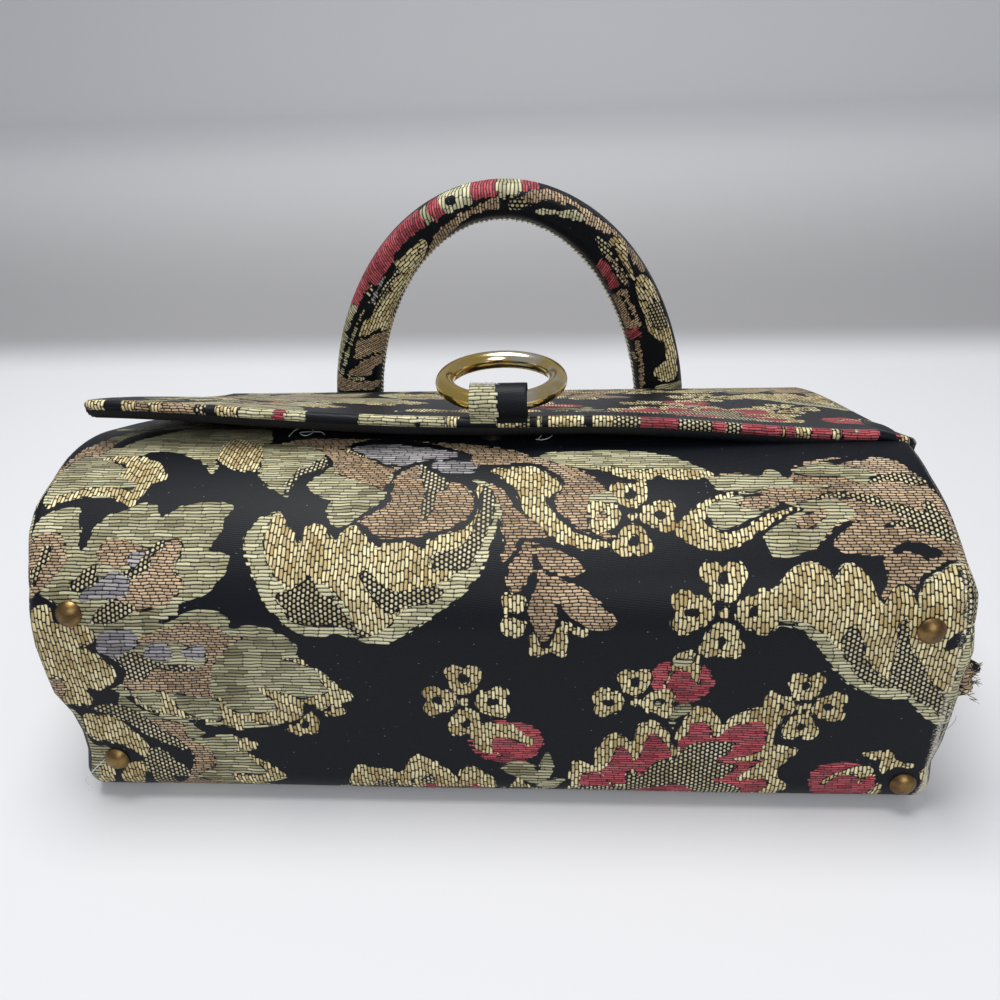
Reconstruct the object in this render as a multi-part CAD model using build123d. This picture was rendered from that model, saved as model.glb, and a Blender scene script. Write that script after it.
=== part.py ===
from build123d import *
import os
from math import cos, degrees, radians, sin, sqrt, tan

os.makedirs("parts", exist_ok=True)

# A woven carpet bag, lying on its back panel.
# X runs along the bag, Y from the bottom panel to the top, and Z up from the
# surface that the back panel lies on. Lengths are in millimetres. Places are
# measured from the bottom, and the finished pieces are then moved so that the
# origin is on the back panel's outer face, in its middle.
origin_y = 102
past = 30                  # how far cutting shapes reach past the bag

# Body, as seen from its side
bag_width = 284
mouth_y = 193              # the body ends here, in an open mouth
bottom_lean = 6            # the bottom panel leans back from upright, degrees
bottom_flat = 56           # straight stretch of the bottom panel
back_corner_radius = 11    # between back and bottom
round_over_radius = 26     # between bottom and front
belly_radius = 75          # crown of the front panel
round_over_heading = 38    # slope where the round-over meets the belly
front_fall = 21            # slope of the front panel towards the mouth
side_radius = 4.5          # corners between the wrap and the gussets
seam_x = 138.6             # seam between the wrap and each gusset

# Layers of the body's wall, from outside to inside
cloth = 1.2
board = 2.0
satin = 0.8
wall = cloth + board + satin
hem = 2.0                  # cloth turned in over the boards at the mouth
board_half_width = 133
back_board_start = 16
bottom_board_ends = (15, 62)
front_board_start = (34, 50)

# Fold that pinches each gusset inwards towards the mouth
fold_start_y = 66
fold_depth = 17
fold_half_height = 20
fold_z = 32
fold_least = 0.2           # the fold's depth where it starts
fold_widening = 1.4        # it grows by this much of each layer further in

# Tuck of worn cloth that stands out at the right gusset's lower seam
tuck_reach = 7.6
tuck_heights = (43, 60)
tuck_tip_height = 52.5
tuck_depths = (4, 13)
tuck_rounding = 1.6

# Feet on the bottom panel
foot_places = {            # x, and how far up the bottom panel from the surface
    "foot_back_left": (-125.4, 18), "foot_back_right": (132.3, 12.4),
    "foot_front_left": (-128, 75), "foot_front_right": (130.5, 71)}
foot_sink = 0.2            # pressed into the cloth
foot_radius = 4.2
foot_height = 2.7
foot_rim = 0.5
prong_width = 1.8
prong_thickness = 0.5
prong_spread = 3.2
prong_offset = 0.8         # from the foot's middle
prong_bite = 0.2           # how far it reaches into the head

# Flap, a stiff angled lid hinged along the top of the back panel
flap_width = 281
flap_cloth = 1.0
flap_board = 1.8
flap_satin = 0.8
flap_margin = 2.2          # cloth turned round the edges
flap_top_y = 195.2         # inner face of the top section
flap_fold_z = 58.6         # height where the inner faces would meet
flap_fall = 20.7           # slope of the front section
flap_reach = 137.8         # from that fold to the lip's corners, along the slope
lip_point = 5              # the lip reaches this much further at its middle
lip_corner_radius = 3
board_corner_radius = 0.8  # the same on the boards, at least
flap_fold_radius = 2.5     # inside the fold
flap_floor_gap = 0.4

# Ring and its cloth loop on the lip
ring_x = 3
ring_outer = 46
ring_tube = 6.4
ring_fall = 1.5            # slope of the ring's plane, away from the lip
ring_axis = (66.5, 117.2)  # y and z of the line that it swings on
ring_offset = 1.5          # the tube's centre lies this far from that line
loop_width = 19
loop_bore = 5.0
loop_wall = 1.0
loop_foot = 15
loop_foot_shift = 0.5      # further up the flap
loop_foot_thickness = 2.4

# Press stud under the lip
stud_y = 75
stud_radius = 5.5
stud_base = 1.0
stud_nub_radius = 2.0
stud_nub = 1.2
stud_gap = 0.35
stud_rounding = 0.4
socket_reach = 6           # down into the front panel's cloth
socket_clearance = 0.3

# Handle, an arch that stands on the flap's top section
handle_x = -1.5
handle_span = 177
handle_high = 122.5        # from the pivot to the top of the arch
handle_radial = 23         # the strap's width in the plane of the arch, at its ends
handle_crown = 15          # the same at the top of the arch
handle_deep = 15           # its depth across that plane
handle_rounding = 5
core_inset = 4.6           # the core lies this far inside the strap's edges
core_deep = 7
pivot = (209.2, 38)        # y and z of the line that it swings on
handle_lean = 4            # towards the lip, against the flap's fold
patch_width = 27
patch_height = 28
patch_thickness = 1.6
patch_set_down = 1         # its top edge is this much nearer to the pivot
cradle_gap = 0.35
cradle_strip = (5, 7, 1.5) # strip of cloth from patch to cradle: y short of the
                           # pivot, and from which height to which, below it
cradle_sweep = (187, 262)  # how far the patch's cloth goes round the handle's end


def normal_of(heading):
    """Outward normal where the body's outline runs at a heading in degrees."""
    return (-sin(radians(heading)), cos(radians(heading)))


def off(center, radius, heading):
    normal = normal_of(heading)
    return (center[0] + radius * normal[0], center[1] + radius * normal[1])


# Centres of the outline's three arcs, each tangent to its neighbours
rise = 90 - bottom_lean
corner_center = (back_corner_radius, back_corner_radius)
bottom_low = off(corner_center, back_corner_radius, rise)
bottom_high = (bottom_low[0] + bottom_flat * cos(radians(rise)),
               bottom_low[1] + bottom_flat * sin(radians(rise)))
round_center = off(bottom_high, -round_over_radius, rise)
round_end = off(round_center, round_over_radius, round_over_heading)
belly_center = off(round_end, -belly_radius, round_over_heading)


def side_outline(inset, end_y):
    """The body's outline from the side, set in by inset and cut off at end_y."""
    corner = back_corner_radius - inset
    rounding = round_over_radius - inset
    belly = belly_radius - inset
    back = off(corner_center, corner, 180)
    low = off(corner_center, corner, rise)
    high = off(round_center, rounding, rise)
    shoulder = off(round_center, rounding, round_over_heading)
    crest = off(belly_center, belly, -front_fall)
    front = (end_y, crest[1] - (end_y - crest[0]) * tan(radians(front_fall)))
    with BuildSketch(Plane.YZ) as sketch:
        with BuildLine():
            Line((end_y, inset), back)
            ThreePointArc(back, off(corner_center, corner, (180 + rise) / 2), low)
            Line(low, high)
            middle = (rise + round_over_heading) / 2
            ThreePointArc(high, off(round_center, rounding, middle), shoulder)
            middle = (round_over_heading - front_fall) / 2
            ThreePointArc(shoulder, off(belly_center, belly, middle), crest)
            Line(crest, front)
            Line(front, (end_y, inset))
        make_face()
    return sketch.sketch


def fold_wedge(side, inset):
    """The wedge that is missing from a side where its gusset folds inwards."""
    half = bag_width / 2
    sections = []
    for y in (fold_start_y, mouth_y + past):
        share = (y - fold_start_y) / (mouth_y - fold_start_y)
        depth = fold_depth * share + inset + fold_least
        tall = fold_half_height * share + fold_widening * inset + 2 * fold_least
        outline = Polyline((side * (half + 1), y, fold_z - tall),
                           (side * (half - depth), y, fold_z),
                           (side * (half + 1), y, fold_z + tall), close=True)
        sections.append(make_face(outline))
    return loft(sections, ruled=True)


def body_form(inset, end_y):
    """The bag as a solid lump, set in by inset and cut off at end_y."""
    half = bag_width / 2 - inset
    form = extrude(side_outline(inset, end_y), amount=half, both=True)
    rim = [edge for edge in form.edges() if abs(edge.center().X) > half - 0.1]
    rim = [edge for edge in rim if abs(edge.center().Y - end_y) > 0.1]
    form = fillet(rim, side_radius - inset)
    for side in (-1, 1):
        form -= fold_wedge(side, inset)
    return form


def block(low, high):
    size = [b - a for a, b in zip(low, high)]
    middle = [(a + b) / 2 for a, b in zip(low, high)]
    return Pos(*middle) * Box(*size)


outside = body_form(0, mouth_y)
under_cloth = body_form(cloth, mouth_y - hem)
under_board = body_form(cloth + board, mouth_y + past)
inside = body_form(cloth + board + satin, mouth_y + past)

cloth_wall = outside - under_cloth - under_board
board_space = under_cloth - under_board


side_x = bag_width / 2
top_z = 130                # above everything but the handle


def gusset_room(side):
    """The space of a gusset: past the seam, and where its fold reaches in."""
    inner = seam_x - fold_depth
    outer, end = side_x + past, mouth_y + past
    past_seam = block((seam_x, -past, -past), (outer, end, top_z))
    fold_room = block((inner, fold_start_y, wall + 1), (outer, end, fold_z + fold_half_height))
    room = past_seam + fold_room
    return room if side > 0 else mirror(room, about=Plane.YZ)


gusset_left = cloth_wall & gusset_room(-1)
gusset_right = cloth_wall & gusset_room(1)
outer_cover = cloth_wall - gusset_room(-1) - gusset_room(1)

low, high = tuck_heights
tuck_face = make_face(Polyline((side_x - 4, low - 2), (side_x + tuck_reach * 0.6, low + 3),
                               (side_x + tuck_reach, tuck_tip_height),
                               (side_x + tuck_reach * 0.75, high - 4),
                               (side_x - 4, high + 1), close=True))
tuck = extrude(Plane.XZ * tuck_face, amount=-(tuck_depths[1] - tuck_depths[0]))
tuck = Pos(0, tuck_depths[0], 0) * fillet(tuck.edges(), tuck_rounding)
gusset_right += tuck - outside

across = board_half_width
back_board = board_space & block((-across, back_board_start, 0),
                                 (across, mouth_y, 2 * wall))
bottom_board = board_space & block((-across, 0, bottom_board_ends[0]),
                                   (across, 4 * wall, bottom_board_ends[1]))
front_board = board_space & block((-across, front_board_start[0], front_board_start[1]),
                                  (across, mouth_y, top_z))

lining = (under_board & block((-side_x, -past, -past), (side_x, mouth_y, top_z))) - inside


# Feet: a domed head with two prongs, pushed through and bent over inside
def foot_plane(x, row):
    """Plane on the bottom panel, or on the round-over past it, facing out of the bag."""
    lean = radians(bottom_lean)
    up = row - bottom_low[1] / cos(lean)
    if up <= bottom_flat:
        heading = rise
        y, z = bottom_low[0] + up * sin(lean), row * cos(lean)
    else:
        heading = rise - degrees((up - bottom_flat) / round_over_radius)
        y, z = off(round_center, round_over_radius, heading)
    normal = normal_of(heading)
    return Plane(origin=(x, y - foot_sink * normal[0], z - foot_sink * normal[1]),
                 x_dir=(1, 0, 0), z_dir=(0, *normal))


def foot():
    """One foot, its head on the plane of the cloth and its prongs below it."""
    crown = foot_height - foot_rim
    ball = (foot_radius ** 2 + crown ** 2) / (2 * crown)
    solid = Pos(0, 0, foot_height - ball) * Sphere(ball)
    solid &= block((-ball, -ball, foot_rim), (ball, ball, foot_height + 1))
    solid += Pos(0, 0, foot_rim / 2) * Cylinder(foot_radius, foot_rim)
    reach = cloth + board - foot_sink
    for side in (-1, 1):
        leg = Pos(side * prong_offset, 0, (prong_bite - reach) / 2)
        leg *= Box(prong_thickness, prong_width, reach + prong_bite)
        out = prong_offset + (prong_spread - prong_thickness) / 2
        tip = Pos(side * out, 0, prong_thickness / 2 - reach)
        solid += leg
        solid += tip * Box(prong_spread, prong_width, prong_thickness)
    return solid


prong_layer = body_form(cloth + board - prong_thickness, mouth_y)
bottom_board -= prong_layer
feet = {}
for name, (x, row) in foot_places.items():
    feet[name] = foot_plane(x, row) * foot()
    outer_cover -= feet[name]
    bottom_board -= feet[name]

# Flap
fall = radians(flap_fall)
turn = 90 - flap_fall                 # how far the cloth turns at the fold
flap_half = flap_width / 2
flap_thickness = flap_cloth + flap_board + flap_satin


def flap_solid(low, high, margin):
    """Top section, fold and front section between two depths from the inner face."""
    half = flap_half - margin
    set_back = flap_fold_radius * tan(radians(turn / 2))
    top = block((-half, flap_top_y + low, flap_floor_gap + margin),
                (half, flap_top_y + high, flap_fold_z - set_back))
    pipe = Cylinder(flap_fold_radius + high, 2 * half, rotation=(0, 90, 0))
    pipe -= Cylinder(flap_fold_radius + low, 2 * half + 2, rotation=(0, 90, 0))
    reach = 3 * (flap_fold_radius + flap_thickness)
    corners = [(reach * cos(radians(a)), reach * sin(radians(a))) for a in (0, turn / 2, turn)]
    slice_of_pipe = extrude(Plane.YZ * make_face(Polyline((0, 0), *corners, close=True)),
                            amount=half + 1, both=True)
    fold_center = (flap_top_y - flap_fold_radius, flap_fold_z - set_back)
    bend = Pos(0, *fold_center) * (pipe & slice_of_pipe)
    tip = flap_reach - margin
    outline = make_face(Line((-half, set_back), (half, set_back))
                        + Line((half, set_back), (half, tip))
                        + ThreePointArc((half, tip), (0, tip + lip_point), (-half, tip))
                        + Line((-half, tip), (-half, set_back)))
    corners = [v for v in outline.vertices() if v.Y > set_back + 1]
    outline = fillet(corners, max(lip_corner_radius - margin, board_corner_radius))
    slope = Plane(origin=(0, flap_top_y, flap_fold_z), x_dir=(-1, 0, 0),
                  z_dir=(0, sin(fall), cos(fall)))
    front = slope * Pos(0, 0, low) * extrude(outline, amount=high - low)
    return top, bend, front


def joined(pieces):
    return pieces[0] + pieces[1] + pieces[2]


flap_cover = joined(flap_solid(0, flap_thickness, 0))
flap_cover -= joined(flap_solid(-0.5, flap_satin + flap_board, flap_margin))
flap_lining = joined(flap_solid(0, flap_satin, flap_margin))
flap_top_board, _, flap_front_board = flap_solid(flap_satin, flap_satin + flap_board,
                                                 flap_margin)
flap_whole = joined(flap_solid(0, flap_thickness, 0))


def flap_under(y):
    """Height of the flap's underside at a given y."""
    return flap_fold_z + (flap_top_y - y) * tan(fall)


# Ring and the cloth loop that holds it on the lip
ring_mid = (ring_outer - ring_tube) / 2
ring_slope = radians(ring_fall)
ring_reach = ring_mid - ring_offset
ring_place = Pos(ring_x, ring_axis[0] + ring_reach * cos(ring_slope),
                 ring_axis[1] - ring_reach * sin(ring_slope)) * Rot(-ring_fall, 0, 0)
ring = ring_place * Torus(ring_mid, ring_tube / 2)

loop_axis = Pos(ring_x, *ring_axis)
ring_loop = loop_axis * Cylinder(loop_bore + loop_wall, loop_width, rotation=(0, 90, 0))
flap_slope = Rot(-flap_fall, 0, 0)
foot_strip = flap_slope * Pos(0, loop_foot_shift, -loop_bore)
foot_strip *= Box(loop_width, loop_foot, loop_foot_thickness)
ring_loop += loop_axis * foot_strip
ring_loop -= loop_axis * Cylinder(loop_bore, loop_width + 2, rotation=(0, 90, 0))
ring_loop -= flap_whole
ring_loop = ring_loop.solids().sort_by(SortBy.VOLUME)[-1]

# Press stud: its nub side under the lip, its socket side on the front panel
stud_plane = Plane(origin=(0, stud_y, flap_under(stud_y)), x_dir=(1, 0, 0),
                   z_dir=(0, -sin(fall), -cos(fall)))
snap_stud = extrude(stud_plane * Circle(stud_radius), amount=stud_base)
snap_stud += extrude(stud_plane * Circle(stud_nub_radius), amount=stud_base + stud_nub)
snap_stud = fillet(snap_stud.edges().filter_by(GeomType.CIRCLE).group_by(
    SortBy.LENGTH)[-1].sort_by(Axis.Z)[:1], stud_rounding)
socket_plane = stud_plane.offset(stud_base + stud_gap)
snap_socket = extrude(socket_plane * Circle(stud_radius), amount=socket_reach)
snap_socket -= extrude(socket_plane * Circle(stud_nub_radius + socket_clearance),
                       amount=stud_nub + socket_clearance)
snap_socket -= outside
snap_socket = snap_socket.solids().sort_by(SortBy.VOLUME)[-1]


# Handle: an arch with half-round ends, swinging between two cloth patches
handle_middle = (handle_span - handle_radial) / 2


def half_ellipse(across, high):
    """The upper half of an ellipse round the pivots' middle, closed along z = 0."""
    curve = EllipticalCenterArc((0, 0), across, high, arc_size=180)
    return make_face(curve + Line((-across, 0), (across, 0)))


def arch(inset, deep, rounding):
    """The arch with its pivots at z = 0, standing in the plane y = 0."""
    radial = handle_radial / 2 - inset
    crown = handle_crown - inset
    face = half_ellipse(handle_middle + radial, handle_high - inset)
    face -= half_ellipse(handle_middle - radial, handle_high - crown)
    room = block((-handle_span, -deep, 0), (handle_span, deep, handle_high + 1))
    for side in (-1, 1):
        face += Pos(side * handle_middle, -deep / 4) * Rectangle(2 * radial, deep / 2)
        room += Pos(side * handle_middle, 0, 0) * Cylinder(deep / 2, 2 * radial + 2,
                                                           rotation=(0, 90, 0))
    solid = Pos(0, deep / 2, 0) * extrude(Plane.XZ * face, amount=deep) & room
    if rounding:
        solid = fillet(solid.edges().filter_by(GeomType.ELLIPSE), rounding)
    return solid


handle_place = Pos(handle_x, *pivot) * Rot(handle_lean, 0, 0)
handle_core = handle_place * arch(core_inset, core_deep, 0)
handle_cover = handle_place * arch(0, handle_deep, handle_rounding) - handle_core

handle_patches = {}
for side, side_name in ((-1, "left"), (1, "right")):
    middle = handle_x + side * handle_middle
    flap_face = flap_top_y + flap_thickness
    plate = block((middle - patch_width / 2, flap_face, pivot[1] - patch_height / 2),
                  (middle + patch_width / 2, flap_face + patch_thickness,
                   pivot[1] + patch_height / 2 - patch_set_down))
    bore = handle_deep / 2 + cradle_gap
    tube = Cylinder(bore + cloth, handle_radial, rotation=(0, 90, 0))
    span = [(past * cos(radians(a)), past * sin(radians(a)))
            for a in (cradle_sweep[0], sum(cradle_sweep) / 2, cradle_sweep[1])]
    sector = extrude(Plane.YZ * make_face(Polyline((0, 0), *span, close=True)),
                     amount=handle_radial, both=True)
    cradle = Pos(middle, *pivot) * (tube & sector)
    short, low, high = cradle_strip
    cradle += block((middle - handle_radial / 2, flap_face, pivot[1] - low),
                    (middle + handle_radial / 2, pivot[0] - short, pivot[1] - high))
    hollow = Pos(middle, *pivot) * Cylinder(bore, handle_radial + 2 * wall,
                                            rotation=(0, 90, 0))
    patch = plate + (cradle - flap_whole) - hollow
    handle_patches[f"handle_patch_{side_name}"] = patch.solids().sort_by(SortBy.VOLUME)[-1]

parts = {"outer_cover": outer_cover, "gusset_left": gusset_left,
         "gusset_right": gusset_right, "back_board": back_board,
         "bottom_board": bottom_board, "front_board": front_board, "lining": lining,
         "flap_cover": flap_cover, "flap_lining": flap_lining,
         "flap_top_board": flap_top_board, "flap_front_board": flap_front_board,
         "ring": ring, "ring_loop": ring_loop, "snap_stud": snap_stud,
         "snap_socket": snap_socket, "handle_cover": handle_cover,
         "handle_core": handle_core, **feet, **handle_patches}
for name, solid in parts.items():
    placed = Pos(0, -origin_y, 0) * solid.solids()[0]
    export_step(placed, f"parts/{name}.step")
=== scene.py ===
from math import cos, pi, radians, sin, tan

import bpy
import numpy as np
from mathutils import Matrix, Vector


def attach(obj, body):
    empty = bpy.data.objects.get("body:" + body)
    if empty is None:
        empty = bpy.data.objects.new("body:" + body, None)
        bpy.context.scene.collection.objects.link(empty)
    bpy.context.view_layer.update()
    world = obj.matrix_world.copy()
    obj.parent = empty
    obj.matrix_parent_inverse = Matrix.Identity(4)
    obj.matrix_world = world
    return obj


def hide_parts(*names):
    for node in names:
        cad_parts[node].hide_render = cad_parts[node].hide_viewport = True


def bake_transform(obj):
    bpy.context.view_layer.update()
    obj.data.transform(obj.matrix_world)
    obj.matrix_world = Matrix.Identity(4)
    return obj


# The carpet bag's looks. Lengths are in millimetres, measured from the bottom
# panel and from the surface under the back panel, until toFrame turns them into
# metres in the frame.
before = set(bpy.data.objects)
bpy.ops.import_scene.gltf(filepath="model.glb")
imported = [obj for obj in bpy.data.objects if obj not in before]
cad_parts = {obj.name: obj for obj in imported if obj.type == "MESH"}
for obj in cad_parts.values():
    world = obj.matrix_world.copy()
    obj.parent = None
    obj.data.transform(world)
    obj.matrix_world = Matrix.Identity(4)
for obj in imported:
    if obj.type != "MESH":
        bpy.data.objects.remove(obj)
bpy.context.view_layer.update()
scene = bpy.context.scene
originY = 102


def toFrame(points):
    points = np.asarray(points, float)
    return (points - (0, originY, 0)) / 1000


# camera, as in the photograph
cameraSettings = {"place": (20, -189.3, 237.1), "turn": 4.0, "down": 31.72, "roll": 2.3, "lens": 30.6}


def makeCamera(settings):
    turn, down, roll = (radians(settings[k]) for k in ("turn", "down", "roll"))
    look = np.array([-sin(turn) * cos(down), cos(turn) * cos(down), -sin(down)])
    right = np.array([cos(turn), sin(turn), 0])
    below = np.cross(look, right)
    across = right * cos(roll) + below * sin(roll)
    under = below * cos(roll) - right * sin(roll)
    camera = bpy.data.objects.new("camera", bpy.data.cameras.new("camera"))
    camera.data.lens = settings["lens"]
    camera.data.clip_start = 0.01
    scene.collection.objects.link(camera)
    place = toFrame(settings["place"])
    rows = [list(r) + [p] for r, p in zip(np.column_stack([across, -under, -look]), place)]
    camera.matrix_world = Matrix(rows + [[0, 0, 0, 1]])
    scene.camera = camera


makeCamera(cameraSettings)


class Wire:
    # an output socket; sums written with it add Math nodes
    def __init__(self, look, socket):
        self.look, self.socket = look, socket

    def maths(self, operation, *others):
        inputs = dict(enumerate((self,) + others))
        return self.look.node("ShaderNodeMath", {"operation": operation}, inputs)

    def __add__(self, other): return self.maths("ADD", other)
    def __radd__(self, other): return self.maths("ADD", other)
    def __sub__(self, other): return self.maths("SUBTRACT", other)
    def __rsub__(self, other): return self.look.number("SUBTRACT", other, self)
    def __mul__(self, other): return self.maths("MULTIPLY", other)
    def __rmul__(self, other): return self.maths("MULTIPLY", other)
    def __truediv__(self, other): return self.maths("DIVIDE", other)
    def __rtruediv__(self, other): return self.look.number("DIVIDE", other, self)
    def __pow__(self, other): return self.maths("POWER", other)
    def __abs__(self): return self.maths("ABSOLUTE")
    def floor(self): return self.maths("FLOOR")
    def share(self): return self.maths("FRACT")
    def high(self, other): return self.maths("MAXIMUM", other)
    def sine(self): return self.maths("SINE")

    def step(self, start, end):
        # 0 before start and 1 past end, smooth between
        return self.look.node("ShaderNodeMapRange", {"interpolation_type": "SMOOTHSTEP"},
                              {0: self, 1: start, 2: end})


class Look:
    # a material and the few calls that fill its node tree
    def __init__(self, name):
        self.material = bpy.data.materials.new(name)
        self.material.use_nodes = True
        self.tree = self.material.node_tree
        self.tree.nodes.clear()

    def node(self, kind, settings=None, inputs=None, output=0):
        made = self.tree.nodes.new(kind)
        for key, value in (settings or {}).items():
            setattr(made, key, value)
        for key, value in (inputs or {}).items():
            if isinstance(value, Wire):
                self.tree.links.new(value.socket, made.inputs[key])
            else:
                made.inputs[key].default_value = value
        return Wire(self, made.outputs[output]) if len(made.outputs) else None

    def number(self, operation, *values):
        return self.node("ShaderNodeMath", {"operation": operation}, dict(enumerate(values)))

    def mix(self, factor, first, second):
        first, second = (v if isinstance(v, Wire) else tuple(v) + (1,) for v in (first, second))
        return self.node("ShaderNodeMix", {"data_type": "RGBA"},
                         {0: factor, 6: first, 7: second}, 2)

    def attribute(self, name):
        return self.node("ShaderNodeAttribute", {"attribute_name": name}, None, "Vector")

    def parts(self, vector):
        split = self.tree.nodes.new("ShaderNodeSeparateXYZ")
        self.tree.links.new(vector.socket, split.inputs[0])
        return [Wire(self, split.outputs[i]) for i in range(3)]

    def joined(self, x, y, z=0.0):
        return self.node("ShaderNodeCombineXYZ", None, {0: x, 1: y, 2: z})

    def place(self):
        return self.node("ShaderNodeTexCoord", None, None, "Object")

    def noise(self, vector, scale, detail=2.0, roughness=0.5):
        return self.node("ShaderNodeTexNoise", None,
                         {"Vector": vector, "Scale": scale, "Detail": detail, "Roughness": roughness})

    def chance(self, *cell):
        # one random number for each cell
        return self.node("ShaderNodeTexWhiteNoise", {"noise_dimensions": "3D"},
                         {"Vector": self.joined(*cell)})

    def bump(self, height, distance, strength=1.0):
        return self.node("ShaderNodeBump", None,
                         {"Height": height, "Distance": distance, "Strength": strength})

    def finish(self, colour, roughness, normal=None, **fixed):
        inputs = {"Base Color": colour if isinstance(colour, Wire) else tuple(colour) + (1,),
                  "Roughness": roughness}
        if normal is not None:
            inputs["Normal"] = normal
        inputs.update(fixed)
        shader = self.node("ShaderNodeBsdfPrincipled", None, inputs)
        self.node("ShaderNodeOutputMaterial", None, {"Surface": shader})
        return self.material


def ink(code):
    # a hex colour as linear values
    parts = [int(code[i:i + 2], 16) / 255 for i in (1, 3, 5)]
    return tuple(c / 12.92 if c <= 0.04045 else ((c + 0.055) / 1.055) ** 2.4 for c in parts)


def newPiece(name, points, faces, material, fields=None):
    # a mesh object at the origin, with its place in its vertices
    mesh = bpy.data.meshes.new(name)
    mesh.from_pydata(toFrame(points).tolist(), [], [tuple(f) for f in faces])
    for key, values in (fields or {}).items():
        attribute = mesh.attributes.new(key, "FLOAT_VECTOR", "POINT")
        attribute.data.foreach_set("vector", np.asarray(values, np.float32).ravel())
    mesh.polygons.foreach_set("use_smooth", [True] * len(mesh.polygons))
    mesh.materials.append(material)
    piece = bpy.data.objects.new(name, mesh)
    scene.collection.objects.link(piece)
    mesh.update()
    return piece


def gridFaces(rows, columns, closed=False, flipped=False):
    # quads between neighbouring rows; closed joins the last column to the first
    across = columns if closed else columns - 1
    r, c = np.meshgrid(np.arange(rows - 1), np.arange(across), indexing="ij")
    after = (c + 1) % columns
    quads = np.stack([r * columns + c, r * columns + after, (r + 1) * columns + after,
                      (r + 1) * columns + c], -1).reshape(-1, 4)
    return quads[:, ::-1] if flipped else quads


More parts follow.
